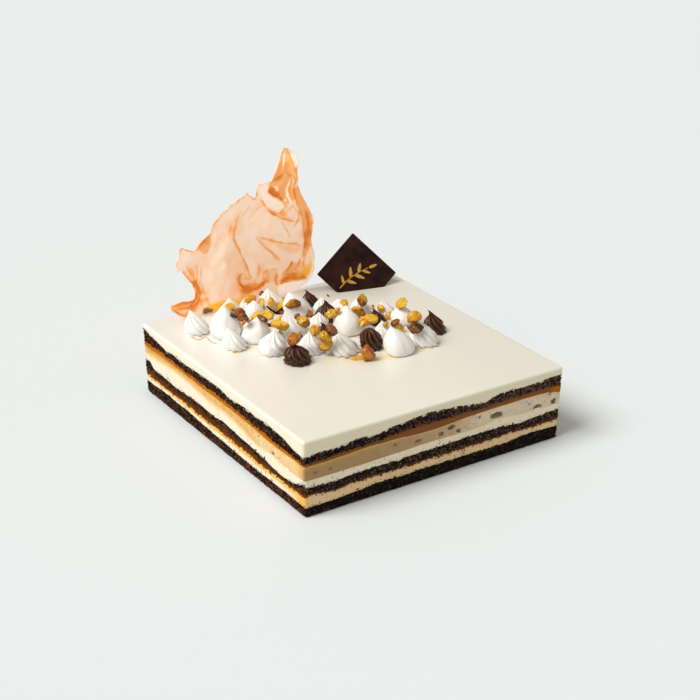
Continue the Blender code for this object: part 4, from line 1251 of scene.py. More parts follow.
for kind, wanted in BITS.items():
    parts = []
    for number, (px, py, long, wide, tall, turn) in enumerate(wanted):
        hit = None
        while hit is None:
            aim = sight(px, py).normalized()
            hit, _, _, _ = toppings.ray_cast(eye, aim)
            py += 0.5
        bpy.ops.mesh.primitive_ico_sphere_add(subdivisions=3 if long < 4.5 else 4, radius=0.5 * MM)
        bit = bpy.context.object
        spin = math.radians(turn)
        length_way = view_side * math.cos(spin) + view_up * math.sin(spin)
        width_way = view_up * math.cos(spin) - view_side * math.sin(spin)
        middle = hit - aim * (tall / 2 - BIT_SINK)
        for vertex in bit.data.vertices:
            x, y, z = vertex.co / MM
            if kind == "chocolate_sticks":
                y *= min(STICK_EDGE, 0.5 / max(0.001, math.hypot(y, z)))
            vertex.co = (middle + length_way * x * long + width_way * y * wide + view_back * z * tall) * MM
        bit.data.update()
        cuts = 0 if kind == "chocolate_sticks" else 1
        chop(bit, number + 60, cuts, lump=2.4, depth=0.10 * wide)
        parts.append(bit)
    settle_on_cake(join_parts(parts, "scattered_" + kind), bit_finish[kind], bit_slot[kind])


# ---- Caramel threads: fine threads of syrup that trailed over the mousse as the sugared nuts
# were set down, and hardened there.

THREAD_SIDES = 8
THREAD_PALE = (0.70, 0.44, 0.12)
THREAD_BROWN = (0.46, 0.21, 0.04)
# Threads by their places in the photo, and how thick each is, as a radius in millimetres
SYRUP_THREADS = [
    ([(190, 336.5), (194, 338), (198, 340), (202, 338.8), (205, 336.4), (207.5, 338), (210, 341),
      (213, 343), (217, 343.8)], 0.45),
    ([(233, 353.2), (240, 351.6), (247, 348.4), (251, 346.4)], 0.3)]


def on_mousse(px, py):
    """The place on the mousse that shows at a place in the photo, in millimetres."""
    aim = sight(px, py)
    return eye + aim * (MOUSSE_TOP - 0.2 - eye.z) / aim.z


syrup_parts = []
for line, thick in SYRUP_THREADS:
    track = []
    for (ax, ay), (bx, by) in zip(line, line[1:]):
        track += [on_mousse(ax + (bx - ax) * step / 5, ay + (by - ay) * step / 5) for step in range(5)]
    thread = stack_rings(THREAD_SIDES, len(track))
    for vertex in thread.data.vertices:
        number = round(vertex.co.z)
        ahead = track[min(number + 1, len(track) - 1)] - track[max(number - 1, 0)]
        sideways = ahead.cross(Vector((0, 0, 1))).normalized()
        slim = thick * (0.75 + 0.5 * noise.noise(track[number] / 2)) * min(1.0, 0.3 + number / 4)
        vertex.co = (track[number] + sideways * vertex.co.x * slim
                     + Vector((0, 0, 0.1 + vertex.co.y * slim * 0.7))) * MM
    syrup_parts.append(thread)
threads = join_parts(syrup_parts, "syrup_threads")
threads.data.shade_smooth()
thread_paint = Paint("set_syrup", Coat_Weight=0.4, Coat_Roughness=0.08)
streaks = thread_paint.cloud(3, 3)
set_syrup = thread_paint.wear(
    color=thread_paint.mix(THREAD_PALE, THREAD_BROWN, thread_paint.between(streaks, 0.4, 0.7)),
    roughness=0.2 + 0.2 * streaks, height=streaks, depth=0.05)
settle_on_cake(threads, set_syrup, "clear_caramel")


# ---- Chocolate plaque: a moulded plate of dark chocolate, pushed into the mousse on one
# corner. Its face carries a leaf sprig in gold, put on through a thin stencil.

PLATE_ROUND = 0.16 * MM
PLATE_BLACK = (0.012, 0.004, 0.004)
PLATE_PAINTED_SHEEN = (0.044, 0.015, 0.011)
PLATE_SCUFF = (0.060, 0.030, 0.022)


def plate_face(node):
    """Middle of the plate's face, the way out of it, and the ways to its right and top corner."""
    mesh = frame["nodes"][node].data
    front = max(mesh.polygons, key=lambda face: face.area * -face.normal.y)
    out = front.normal.copy()
    level = front.center.dot(out)
    corners = [vertex.co.copy() for vertex in mesh.vertices if abs(vertex.co.dot(out) - level) < 0.1 * MM]
    left = min(corners, key=lambda corner: corner.x)
    right = max(corners, key=lambda corner: corner.x)
    top = max(corners, key=lambda corner: corner.z)
    middle = (left + right) / 2
    across = (right - left).normalized()
    return middle, out, across, (top - middle).normalized()


plaque_paint = Paint("moulded_chocolate", Specular_IOR_Level=0.14)
# The brown patches are painted sheen on the plate's face.
sheen_patches = plaque_paint.cloud(11, 4)
plaque_color = plaque_paint.mix(PLATE_BLACK, PLATE_PAINTED_SHEEN, plaque_paint.between(sheen_patches, 0.3, 0.75))
scuffs = plaque_paint.between(plaque_paint.cloud(2.5, 5), 0.6, 0.72)
moulded_chocolate = plaque_paint.wear(
    color=plaque_paint.mix(plaque_color, PLATE_SCUFF, 0.3 * scuffs),
    roughness=0.30 + 0.22 * sheen_patches + 0.1 * scuffs, height=plaque_paint.cloud(5, 4), depth=0.07)
plaque = shape_from_solid("chocolate_plaque", "chocolate_plate", 0)
in_edit("EDGE")
bpy.ops.object.mode_set(mode="EDIT")
bpy.ops.mesh.select_all(action="SELECT")
bpy.ops.mesh.dissolve_limited(angle_limit=math.radians(2))
bpy.ops.mesh.bevel(offset=PLATE_ROUND, segments=2, affect="EDGES")
bpy.ops.object.mode_set(mode="OBJECT")
plaque.data.shade_smooth()
bpy.ops.object.shade_smooth_by_angle(angle=math.radians(40))
settle_on_cake(plaque, moulded_chocolate, "dark_chocolate", "chocolate_plaque")

# The sprig's sizes are in millimetres on the plate's face
STEM_BEND = 7.0
STEM_LONG = 28.0
STEM_WIDE = 0.8
STEM_STEPS = 16
FOIL = 0.12
LEAF_LONG = 8.0
LEAF_WIDE = 3.3
LEAF_POINTS = 14
SPRIG_TURN = math.radians(-58)
SPRIG_SHIFT = (-3.5, -2.0)
SPRIG_SINK = 0.05
BRIGHT_GOLD = (0.88, 0.52, 0.10)
WORN_GOLD = (0.55, 0.29, 0.05)
# Leaves of the sprig: share of the way up the stem, turn from the stem in degrees, and size
LEAVES = [(0.16, 58, 0.8), (0.28, -55, 0.92), (0.42, 52, 1.0), (0.55, -50, 1.0), (0.68, 46, 0.92),
          (0.8, -42, 0.8), (1.0, 2, 0.85)]


def stem_at(share):
    """Place on the sprig's bent stem and its heading there, on the flat face."""
    up = STEM_LONG * (share - 0.5)
    side = STEM_BEND * (share - 0.5) ** 2
    return side, up, math.atan2(STEM_LONG, 2 * STEM_BEND * (share - 0.5))


def lay_on_plate(piece):
    """Turn a part of the sprig, lay it on the plate's face, and press it on."""
    middle, out, across, up = plate_face("chocolate_plaque")
    for vertex in piece.data.vertices:
        x, y, z = vertex.co
        turned = (x * math.cos(SPRIG_TURN) - y * math.sin(SPRIG_TURN) + SPRIG_SHIFT[0],
                  x * math.sin(SPRIG_TURN) + y * math.cos(SPRIG_TURN) + SPRIG_SHIFT[1])
        vertex.co = middle + (across * turned[0] + up * turned[1] + out * z) * MM


bpy.ops.mesh.primitive_grid_add(x_subdivisions=2, y_subdivisions=STEM_STEPS, size=1)
stem = bpy.context.object
for vertex in stem.data.vertices:
    share = vertex.co.y + 0.5
    side, up, _ = stem_at(share * 0.98)
    wide = STEM_WIDE * (1.1 - 0.6 * share)
    vertex.co = (side + vertex.co.x * wide, up, -SPRIG_SINK)
sprig_parts = [stem]
for share, turn, size in LEAVES:
    bpy.ops.mesh.primitive_circle_add(vertices=LEAF_POINTS, radius=1, fill_type="NGON")
    leaf = bpy.context.object
    side, up, heading = stem_at(share)
    way = heading + math.radians(turn)
    for vertex in leaf.data.vertices:
        along = (vertex.co.x + 1) / 2
        width = vertex.co.y * (1 - 0.45 * along) * LEAF_WIDE / 2 * size
        length = along * LEAF_LONG * size
        vertex.co = (side + math.cos(way) * length - math.sin(way) * width,
                     up + math.sin(way) * length + math.cos(way) * width, -SPRIG_SINK)
    sprig_parts.append(leaf)
for part in sprig_parts:
    bpy.ops.object.select_all(action="DESELECT")
    part.select_set(True)
    bpy.context.view_layer.objects.active = part
    bpy.ops.object.mode_set(mode="EDIT")
    bpy.ops.mesh.select_all(action="SELECT")
    bpy.ops.mesh.extrude_region_move(TRANSFORM_OT_translate={"value": (0, 0, FOIL)})
    face_outwards()
    lay_on_plate(part)
foil_paint = Paint("gold_powder", Metallic=0.55)
worn = foil_paint.between(foil_paint.cloud(1.1, 4), 0.42, 0.7)
gold_powder = foil_paint.wear(
    color=foil_paint.mix(BRIGHT_GOLD, WORN_GOLD, worn), roughness=0.35 + 0.25 * worn)
settle_on_cake(join_parts(sprig_parts, "gold_sprig"), gold_powder, "dark_chocolate")


# ---- Caramel tuile: a sheet of sugar and starch baked thin and crumpled while hot. It is
# peach and half clear, and orange wherever it is folded on itself or caught at an edge. Painted
# shade spreads orange to one side of each crease, and the sheet glows a little with painted light.

TUILE_STEP = 0.6
TUILE_THICK = 0.4 * MM
TUILE_SMOOTH = 30
TUILE_DEPTH = 93
TUILE_PEAK = 98.3
PEACH = (0.98, 0.74, 0.60)
DEEP_PEACH = (0.97, 0.67, 0.49)
THIN_PEACH = (0.97, 0.84, 0.76)
BAKED_ORANGE = (0.96, 0.41, 0.11)
BURNT_ORANGE = (0.72, 0.20, 0.012)
BAKED_GOLD = (0.97, 0.50, 0.03)
PAINTED_SHADOW_BROWN = (0.20, 0.07, 0.01)
# The sheet is drawn as it is seen on an upright plane, in millimetres across and up from the
# mousse. Its outline goes clockwise from the tip.
TUILE_RIM = [
    (7, 108.4), (9.6, 107.2), (14, 103.5), (18.3, 99), (19.4, 95.5), (18.3, 92.8), (18, 89), (18.5, 85),
    (18.7, 79), (21, 73.5), (25, 66), (28.5, 60.5), (31.5, 54.5), (32.5, 50), (31.5, 45), (30.5, 39),
    (30.8, 34), (33, 28), (34, 21), (33.5, 14), (31.5, 9), (28, 5.5), (25, 3.5), (22, 3.8), (21, 2),
    (17, 1), (12, -0.4), (4, -0.6), (-18, -0.6), (-40, -0.6), (-60, -0.6), (-66, -0.4), (-68.5, -1.2),
    (-72.5, 0.8), (-77, 3.5), (-80.5, 6.5), (-82, 9.5), (-81.5, 11), (-77.5, 11.2), (-73, 12), (-68, 11.2),
    (-64, 11.6), (-63, 14), (-63, 17), (-64.5, 21), (-66.5, 25), (-69.2, 28.5), (-72, 32.5), (-73.5, 35),
    (-75, 34.6), (-76, 33.8), (-76.5, 36), (-77.6, 39.5), (-76, 43), (-74.8, 46.5), (-74, 50), (-72.5, 51),
    (-70.5, 49.5), (-66.5, 47.8), (-63.5, 46.5), (-62.3, 47.2), (-58, 52), (-54, 55), (-51, 56.8),
    (-50, 60), (-48, 63.5), (-44, 67), (-42.5, 69.5), (-38, 71.5), (-35, 74.5), (-31.5, 75), (-28, 77.5),
    (-25, 78.6), (-22.4, 80.8), (-20, 78.4), (-18, 77.2), (-16, 75.4), (-15, 77.5), (-14.8, 80.5), (-14, 84),
    (-11.6, 85.2), (-10.4, 84.6), (-9, 86.8), (-8.2, 85.4), (-6, 86), (-3, 85.4), (-1, 89), (1, 94),
    (3.4, 100), (5.2, 105.6),
]
# The place and radius of a hole that the heat tore
TUILE_HOLE = ((8.5, 70.3), 0.9)
# Creases: points of the line, width, how orange it is, the side its shade spreads to (1 is to
# the left as one goes along it), how far its ridge stands forward and one side over the other
CREASES = [
    ([(-30.5, 62), (-32, 56), (-32.5, 50), (-31, 46), (-26, 35.5), (-21.5, 25), (-17.5, 15)],
     0.75, 0.95, -1, 0.5, -1.2),
    ([(-26, 69), (-30, 62.5), (-33.5, 60), (-35.5, 55), (-34, 50)], 1.8, 0.5, 0, -0.5, 0),
    ([(-16.5, 49.5), (-12, 44), (-7.5, 39), (-2, 33.5), (2.5, 28.5), (6, 26.5)], 0.75, 0.95, 1, 0.5, 1.0),
    ([(-13, 47.2), (-5, 44.5), (1.5, 41.5), (9, 39), (17.5, 36.5), (24, 34)], 0.65, 0.95, -1, 0.5, 0.8),
    ([(15.5, 37.2), (18, 37.4), (21, 38.8)], 0.45, 0.5, 1, 0.3, 0),
    ([(4, 56.5), (8, 50.5), (11.5, 45.5), (12.6, 41.5)], 0.5, 0.7, 1, 0.5, 0.6),
    ([(20, 55.5), (17.5, 51), (13, 46.5)], 0.5, 0.6, -1, -0.5, 0.5),
    ([(-12.5, 75), (-8.5, 70.5), (-5, 65), (0, 61), (5, 58), (11.5, 55), (17.5, 53)],
     0.6, 1.25, 1, 0.6, 1.6),
    ([(-7.5, 70.5), (-14.5, 67.5), (-21, 60.5)], 1.2, 0.3, -1, -0.4, 0),
    ([(-17, 76), (-22, 70), (-29, 62)], 1.4, 0.22, 1, 0.4, 0),
    ([(8, 98), (8, 90)], 0.45, 0.9, 1, 0.4, 0.3),
    ([(10, 107), (12, 101), (14, 95), (16.5, 91.5)], 0.4, 0.9, 1, 0.5, 0.8),
    ([(8, 90), (1.5, 87), (-4.5, 84)], 0.45, 1.3, -1, 0.6, 0.8),
    ([(6.5, 88), (3, 86), (0, 84)], 0.4, 0.9, -1, 0.4, 0.4),
    ([(8, 90.5), (12, 87), (14, 87.8)], 0.5, 1.0, 1, 0.5, 0.4),
    ([(-4.5, 83.5), (-5, 79), (-1, 75.5), (3.5, 72.8), (7, 70)], 1.0, 1.9, 1, -1.2, -1.4),
    ([(-2, 82), (-3, 78.8), (0.5, 76), (4, 75)], 1.1, 1.6, 0, -0.8, 0),
    ([(12, 85.5), (12.6, 81.5), (10.8, 78), (11.8, 73.5), (15, 67.5)], 0.4, 0.9, 1, 0.5, 0.6),
    ([(14.5, 87), (16, 83), (15, 79.5), (15.5, 75), (17.5, 68)], 0.4, 0.9, 1, 0.5, 0.5),
    ([(8.5, 67.5), (6, 63), (3, 61)], 0.5, 0.9, 1, 0.5, 0.5),
    ([(10.6, 66.5), (8.5, 62), (5.5, 59.4)], 0.4, 0.9, -1, 0.4, 0.4),
    ([(16.5, 66), (11, 62), (6.5, 59)], 0.45, 0.8, -1, 0.4, 0.4),
    ([(14.5, 64.5), (19, 60), (19.5, 55), (17, 52)], 0.45, 0.8, 1, 0.4, 0.5),
    ([(14, 78), (17, 70.5), (19.5, 63), (22.3, 56), (23.5, 49), (25, 40), (25.3, 34), (24, 28.5),
      (22.5, 24)], 0.5, 0.9, -1, 0.7, 0.9),
    ([(29.5, 57), (30.3, 49.5), (29.6, 42), (29, 34), (27, 27.5), (24, 23)], 0.6, 1.0, 1, 0.6, -0.6),
    ([(24, 62), (27, 54), (28, 47), (27, 39), (27.3, 31)], 0.7, 1.1, 0, -0.6, 0.4),
    ([(26.5, 46), (25.5, 38), (26, 31)], 0.4, 1.0, 0, 0.5, 0),
    ([(19.2, 88), (20.5, 79), (24, 70), (29, 61)], 0.4, 0.7, -1, 0.3, 0),
    ([(-46, 60), (-47.5, 50), (-51, 40)], 2.4, 0.1, 0, 0.6, 0.3),
    ([(-51, 56), (-51, 49), (-54, 42.3)], 0.4, 0.8, -1, 0.5, 0.8),
    ([(-50.6, 57), (-55, 53.2), (-58.8, 50), (-62, 47)], 0.7, 1.1, 1, 0.6, 0),
    ([(-52, 53), (-56, 49), (-59, 46.4)], 0.6, 0.35, 0, -0.3, 0),
    ([(-70, 39.5), (-67.5, 33.5), (-64, 27.5), (-62, 22.5), (-60, 18.5)], 0.6, 0.95, -1, 0.7, 0.5),
    ([(-73, 34), (-71, 31.5), (-68, 28), (-64.2, 24), (-62, 20)], 0.6, 1.0, 0, -0.4, 0),
    ([(-70.5, 29.5), (-66.3, 24), (-63.6, 20)], 0.5, 1.1, 0, 0.4, 0),
    ([(-62.5, 38), (-61, 32), (-61, 27.5), (-61.5, 22)], 0.6, 0.75, -1, -0.6, 0.4),
    ([(-58.2, 35), (-58.8, 28), (-59.6, 21)], 0.6, 0.7, 1, 0.6, -0.4),
    ([(-66.5, 36), (-64.6, 31), (-63, 26)], 0.5, 0.45, 0, 0.3, 0),
    ([(-62.5, 22), (-60.5, 18.5), (-59.2, 15), (-60.5, 11), (-63.5, 8), (-66, 5.5)], 1.0, 1.5, 0, 1.4, 0.8),
    ([(-62.3, 17), (-62, 13), (-64, 10)], 0.5, 1.4, 0, -0.9, 0),
    ([(-81, 10.4), (-77, 10.3), (-73, 11), (-67.5, 10.4), (-63, 10.5)], 0.6, 1.7, -1, 0.6, 0),
    ([(-64, 8), (-68, 6.8), (-74, 7.5), (-79, 8)], 0.8, 0.6, 1, -0.8, 0.4),
    ([(-80, 7), (-76, 4), (-71, 1), (-68, -1)], 0.7, 0.9, -1, 0.3, 0),
    ([(-63, 6), (-66.5, 2.5), (-70, 2)], 0.6, 0.8, 0, 0.5, 0),
    ([(-58, 22.5), (-56.5, 15.5), (-53.5, 7.5)], 0.7, 0.5, 0, -0.6, 0),
    ([(-55.5, 15), (-52.5, 7.5), (-51, 2.5)], 0.6, 0.7, 0, 0.6, 0.4),
    ([(-60, 13), (-58, 7), (-56, 2)], 0.7, 0.7, 0, -0.6, 0),
    ([(-35.5, 27), (-41.5, 19), (-47, 11.5)], 1.6, 0.12, 0, 0.4, 0),
    ([(-39.5, 18), (-44, 10), (-47, 5)], 0.9, 0.25, 0, -0.4, 0),
    ([(-26, 24), (-28.6, 20), (-27.5, 15.5), (-24, 11.8), (-20.5, 11.3), (-15, 10.6)],
     0.7, 1.3, -1, 0.8, 1.1),
    ([(-24, 19), (-20.5, 17.6), (-17, 19)], 0.5, 0.6, 1, 0.4, 0.4),
    ([(-27, 10.5), (-22, 8.6), (-17, 9), (-12.5, 9.6), (-9, 12.5), (-7.8, 10.5)], 0.9, 1.9, 0, 1.0, 0.8),
    ([(-25, 13), (-19, 13.6), (-14, 12.6)], 0.6, 0.8, -1, 0.5, 0.4),
    ([(-13, 28), (-13, 21.5), (-15.2, 17), (-17, 13.5)], 0.7, 0.55, 1, 0.7, 0.4),
    ([(-10.5, 24), (-11.5, 19), (-12.5, 14)], 0.8, 0.3, 0, -0.4, 0),
    ([(-4.5, 22.5), (-8, 20.5), (-9.2, 17.5), (-7.4, 13.5), (-3, 11.5)], 0.6, 0.95, 1, 0.7, 0.8),
    ([(-5.5, 22), (-1, 21.4), (3, 21)], 0.5, 0.45, -1, 0.5, 0.4),
    ([(2.5, 18), (0.8, 14), (1.6, 10), (3.6, 7.4)], 0.6, 1.1, 1, 0.8, 0.9),
    ([(14.8, 25), (13.2, 21.5), (11, 18.4), (6.5, 15.3)], 0.7, 1.5, 1, 0.9, 1.2),
    ([(21.5, 26), (20.5, 21), (17.5, 17.4), (12, 17), (9.5, 17)], 0.5, 0.9, -1, 0.6, 0.6),
    ([(27, 25), (23.5, 21), (25.5, 15.8), (28, 13)], 0.5, 0.7, 1, 0.5, 0.6),
    ([(4, 11.2), (7.5, 11), (12.5, 11.6), (19, 10.6), (24.5, 10), (27, 8.4)], 1.1, 1.7, 0, 1.5, -1.2),
    ([(4.5, 9.2), (9, 9.4), (15, 9)], 0.5, 1.9, 0, -0.8, 0),
    ([(8.5, 15.3), (14, 14.8), (21, 13.2), (28, 11.6)], 0.6, 1.1, -1, 0.8, 0.6),
]
# Areas with an even shade: outline, how orange, how pale and thin, and how soft their edge is
PANELS = [
    ([(-51, 55.5), (-54, 54), (-58, 51.5), (-62, 47.5), (-59, 46), (-54, 42.5), (-51, 49)], 0.5, 0, 0.5),
    ([(5.8, 108), (10, 107), (13, 99.5), (16.5, 91.5), (18, 90), (18, 84), (15, 78), (17, 70), (8, 66),
      (-4, 76), (-5, 83), (1, 92)], 0.68, 0, 0.7),
    ([(6, 105), (2, 94), (-3, 86), (3, 87), (6, 95)], 0.3, 0, 0.8),
    ([(7.4, 107), (8, 104), (7.2, 96), (6.0, 95), (6.2, 102)], -0.6, 0.5, 0.5),
    ([(10.3, 106.6), (14, 103), (18.3, 98.6), (19.2, 95.3), (16.8, 92.2), (13.4, 99.5)], -0.9, 0.7, 0.4),
    ([(14.5, 91.5), (18, 93), (18, 87), (16, 89)], 0.6, 0, 0.6),
    ([(-14, 83), (-6, 83.4), (-3.6, 76), (5.6, 70), (7, 65), (2.4, 62.8), (-6, 67.5), (-11.5, 75.5)],
     -0.5, 0.75, 0.7),
    ([(11.8, 85), (12.6, 81.5), (10.6, 78), (11.4, 73.5), (14.4, 68), (12.6, 68.5), (9, 73), (8.8, 78.4),
      (10.6, 82)], -1.0, 0.85, 0.5),
    ([(15, 86), (16, 83), (14.6, 79.5), (14.8, 76), (14, 79.6), (14.6, 83)], -0.9, 0.8, 0.4),
    ([(-0.5, 82), (2, 81), (3, 78), (1, 78.4)], -1.3, 0.2, 0.5),
    ([(-4.5, 64.5), (0, 61), (9, 57.5), (10, 60), (3.5, 62), (0, 64)], 0.35, 0, 0.8),
    ([(14, 78), (18.8, 79), (24.5, 66.5), (29, 58), (30.5, 49.5), (29.8, 42), (29, 34), (26.5, 27),
      (23, 23.5), (24, 28.5), (25.3, 34), (25, 40), (23.5, 49), (22.3, 56), (19.5, 63), (17, 70.5)],
     0.78, 0, 0.5),
    ([(30.8, 57), (31.6, 54), (32, 49), (30.6, 44), (30.3, 38), (30.9, 46)], -0.3, 0.4, 0.6),
    ([(0.5, 40), (8, 37.5), (18, 34), (22, 31), (16, 29), (8, 32)], 0.34, 0, 2.2),
    ([(-41.5, 36), (-31.5, 42), (-22, 24), (-18, 14), (-27, 8), (-40, 8), (-34, 20)], 0.34, 0, 3.4),
    ([(-18, 36), (-6, 34), (4, 26), (8, 20), (-4, 24), (-14, 22)], 0.22, 0, 2.6),
    ([(-48, 64), (-38, 70), (-26, 74), (-30, 60), (-42, 48)], 0.1, 0, 3.0),
    ([(-57, 20), (-46, 26), (-40, 12), (-50, 7)], 0.06, 0.25, 3.0),
    ([(-28, 16), (-20, 12), (-9, 12), (-8, 10), (-27, 5)], 0.6, 0, 1.5),
    ([(-7.5, 22), (4, 20.5), (3.5, 8), (-2, 11.5), (-7, 13.8)], 0.34, 0, 0.8),
    ([(6.5, 16), (13, 22), (21, 24), (28, 20), (30, 12), (24, 9), (10, 11)], 0.34, 0, 1.5),
    ([(3.6, 8.5), (12.5, 9.6), (25, 7.8), (27, 5), (21, 2), (12, -0.6), (3, -0.6)], -0.6, 1.3, 0.8),
    ([(31.8, 27), (34, 21), (33.5, 14), (31, 8), (26.5, 5), (28, 9), (31, 14), (32, 20)], -0.5, 1.0, 0.8),
    ([(-64, 11.4), (-73, 11.6), (-81.5, 10.6), (-81.5, 8), (-77, 3.5), (-68, -1.2), (-62, 3), (-60, 10)],
     0.75, 0, 0.8),
    ([(-80, 8.6), (-77, 9), (-74, 6), (-69, 5.4), (-67, 3.8), (-71, 3.2), (-77, 5)], -0.5, 0.3, 0.6),
    ([(-63.4, 24), (-62, 25), (-58.8, 17), (-59.5, 10), (-62.6, 10.5), (-62, 16)], 0.7, 0, 0.5),
    ([(-77, 42), (-74, 50), (-70, 48), (-68, 42), (-73, 36), (-76, 35)], -0.1, 0.5, 2.0),
]
# Round spots: middle, reach and strength
GOLD_SPOTS = [((-53, 0), 4.5, 1.0), ((-49, 1), 5, 1.1), ((-44, 1.5), 5, 1.1), ((-39, 2), 4.6, 1.1),
              ((-34, 2), 4.6, 0.8), ((-29, 2), 4.4, 0.7), ((-24, 4), 4, 0.6), ((-18, 6), 4, 0.4),
              ((28, 13), 3.6, 1.0), ((30.5, 18), 3, 0.8), ((30.5, 23), 3, 0.5), ((25, 15.5), 3.5, 0.7),
              ((20, 11), 3.4, 0.6), ((14, 11), 3, 0.4)]
# Painted shadow at the sheet's foot, where it stands among the kisses: middle, reach and strength
SHEET_FOOT_SHADOW = [((-54.5, 1), 3.2, 1.6), ((-50.5, 0.5), 2.4, 0.8)]


def from_line(x, z, line):
    """Distance of places from a broken line, the side they lie on, and the share along it."""
    best = np.full(x.shape, 1e9)
    side = np.zeros(x.shape)
    share = np.zeros(x.shape)
    for number, (start, end) in enumerate(zip(line, line[1:])):
        run = end[0] - start[0]
        rise = end[1] - start[1]
        along = np.clip(((x - start[0]) * run + (z - start[1]) * rise) / (run * run + rise * rise), 0, 1)
        gap = np.hypot(x - start[0] - along * run, z - start[1] - along * rise)
        nearer = gap < best
        best = np.where(nearer, gap, best)
        side = np.where(nearer, np.sign(run * (z - start[1]) - rise * (x - start[0])), side)
        share = np.where(nearer, (number + along) / (len(line) - 1), share)
    return best, side, share


def inside(x, z, outline):
    """Whether places are inside an outline, by the crossings of a line to their right."""
    odd = np.zeros(x.shape, dtype=bool)
    for (ax, az), (bx, bz) in zip(outline, outline[1:] + outline[:1]):
        if az != bz:
            odd ^= ((az > z) != (bz > z)) & (x < ax + (bx - ax) * (z - az) / (bz - az))
    return odd


def panel_share(x, z, outline, soft):
    """How much places belong to a panel whose edge is soft over so many millimetres."""
    gap, _, _ = from_line(x, z, outline + outline[:1])
    signed = np.where(inside(x, z, outline), gap, -gap)
    return 1 / (1 + np.exp(-np.clip(3 * signed / soft, -30, 30)))


def spots(x, z, places):
    """Sum of soft round spots."""
    total = np.zeros(x.shape)
    for (mx, mz), reach, strength in places:
        total += strength * np.exp(-((x - mx) ** 2 + (z - mz) ** 2) / reach ** 2)
    return total


def grain_of(places, size):
    """Smooth noise at places, with lumps of a size in millimetres."""
    return np.array([noise.noise(Vector(place) / size) for place in places])


# A flat grid is cut to the outline, its rim drawn onto the line and torn a little
tuile_low, tuile_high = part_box("caramel_tuile")
lines_x = int((tuile_high.x - tuile_low.x) / MM / TUILE_STEP) + 4
lines_z = int((tuile_high.z - tuile_low.z) / MM / TUILE_STEP) + 8
bpy.ops.mesh.primitive_grid_add(x_subdivisions=lines_x, y_subdivisions=lines_z, size=1)
tuile = bpy.context.object
tuile.name = "crumpled_tuile"
for vertex in tuile.data.vertices:
    x = tuile_low.x / MM - 1 + (vertex.co.x + 0.5) * lines_x * TUILE_STEP
    z = -1.5 + (vertex.co.y + 0.5) * lines_z * TUILE_STEP
    vertex.co = (x, 0, z)
centers = np.array([face.center for face in tuile.data.polygons])
(hole_x, hole_z), hole_reach = TUILE_HOLE
in_hole = np.hypot(centers[:, 0] - hole_x, centers[:, 2] - hole_z) < hole_reach
waste = in_hole | ~inside(centers[:, 0], centers[:, 2], TUILE_RIM)
in_edit("FACE")
pick(tuile.data, "polygons", lambda face: waste[face.index])
bpy.ops.mesh.delete(type="FACE")
bpy.ops.object.mode_set(mode="OBJECT")
edge_users = {}
for face in tuile.data.polygons:
    for key in face.edge_keys:
        edge_users[key] = edge_users.get(key, 0) + 1
rim_numbers = sorted({number for key, users in edge_users.items() if users == 1 for number in key})
rim_sides = list(zip(TUILE_RIM, TUILE_RIM[1:] + TUILE_RIM[:1]))
for number in rim_numbers:
    vertex = tuile.data.vertices[number]
    here = Vector((vertex.co.x, vertex.co.z))
    feet = [intersect_point_line(here, Vector(start), Vector(end)) for start, end in rim_sides]
    on_rim = [foot.to_2d() for foot, along in feet if 0 <= along <= 1]
    spot = min(on_rim, key=lambda foot: (foot - here).length)
    if (spot - here).length < 1.2:
        torn = 0.35 * noise.noise(Vector((spot.x, spot.y, 0)) / 1.3) + 0.4 * noise.noise(
            Vector((spot.x, spot.y, 5)) / 3)
        middle_way = (Vector((-15, 45)) - spot).normalized()
        vertex.co.x = spot.x + middle_way.x * torn
        vertex.co.z = spot.y + middle_way.y * torn

# The sheet follows the solid's own bends, and creases and rolls are raised on them
solid_tuile = frame["nodes"]["caramel_tuile"].data
solid_sheet = BVHTree.FromPolygons([vertex.co / MM for vertex in solid_tuile.vertices],
                                   [tuple(face.vertices) for face in solid_tuile.polygons])
for vertex in tuile.data.vertices:
    aim = Vector((vertex.co.x, tuile_low.y / MM - 50, MOUSSE_TOP + max(0.6, min(vertex.co.z, 106.0))))
    hit, _, _, _ = solid_sheet.ray_cast(aim, Vector((0, 1, 0)))
    if hit is None:
        hit, _, _, _ = solid_sheet.find_nearest(Vector((aim.x, TUILE_DEPTH, aim.z)))
    vertex.co.y = hit.y
bpy.ops.object.mode_set(mode="EDIT")
bpy.ops.mesh.select_all(action="SELECT")
bpy.ops.mesh.vertices_smooth(factor=0.5, repeat=TUILE_SMOOTH, xaxis=False, yaxis=True, zaxis=False)
bpy.ops.object.mode_set(mode="OBJECT")

places = np.array([vertex.co for vertex in tuile.data.vertices])
across = places[:, 0].copy()
height = places[:, 2].copy()
flat = np.stack([across, np.zeros(len(across)), height], axis=1)
wander = np.stack([across + 0.5 * grain_of(flat, 4.0), height + 0.5 * grain_of(flat + 50, 4.0)])
forward = np.zeros(len(places))
orange = np.zeros(len(places))
thin = np.zeros(len(places))
for outline, tint, clear, soft in PANELS:
    belongs = panel_share(wander[0], wander[1], outline, soft)
    orange += tint * belongs
    thin += clear * belongs
strength = 0.8 + 0.7 * grain_of(flat, 5.0)
for line, wide, tint, shade_side, ridge, lap in CREASES:
    gap, side, share = from_line(wander[0], wander[1], line)
    fade = np.clip(np.minimum(share, 1 - share) * 5, 0, 1) ** 0.6
    forward += ridge * np.exp(-gap / (1.3 * wide)) * fade
    forward += lap * (side > 0) * np.exp(-gap / (5 * wide)) * fade
    core = np.exp(-(gap / (wide * (0.55 + 0.45 * fade))) ** 1.6)
    # Painted shade: orange spreads from the crease to its shaded side.
    shade_spread = np.exp(-gap / (4.2 * wide)) * np.where(side * shade_side >= 0, 1.0, 0.12)
    orange += tint * fade * strength * (core + 0.5 * shade_spread)
rim_gap, _, _ = from_line(across, height, TUILE_RIM + TUILE_RIM[:1])
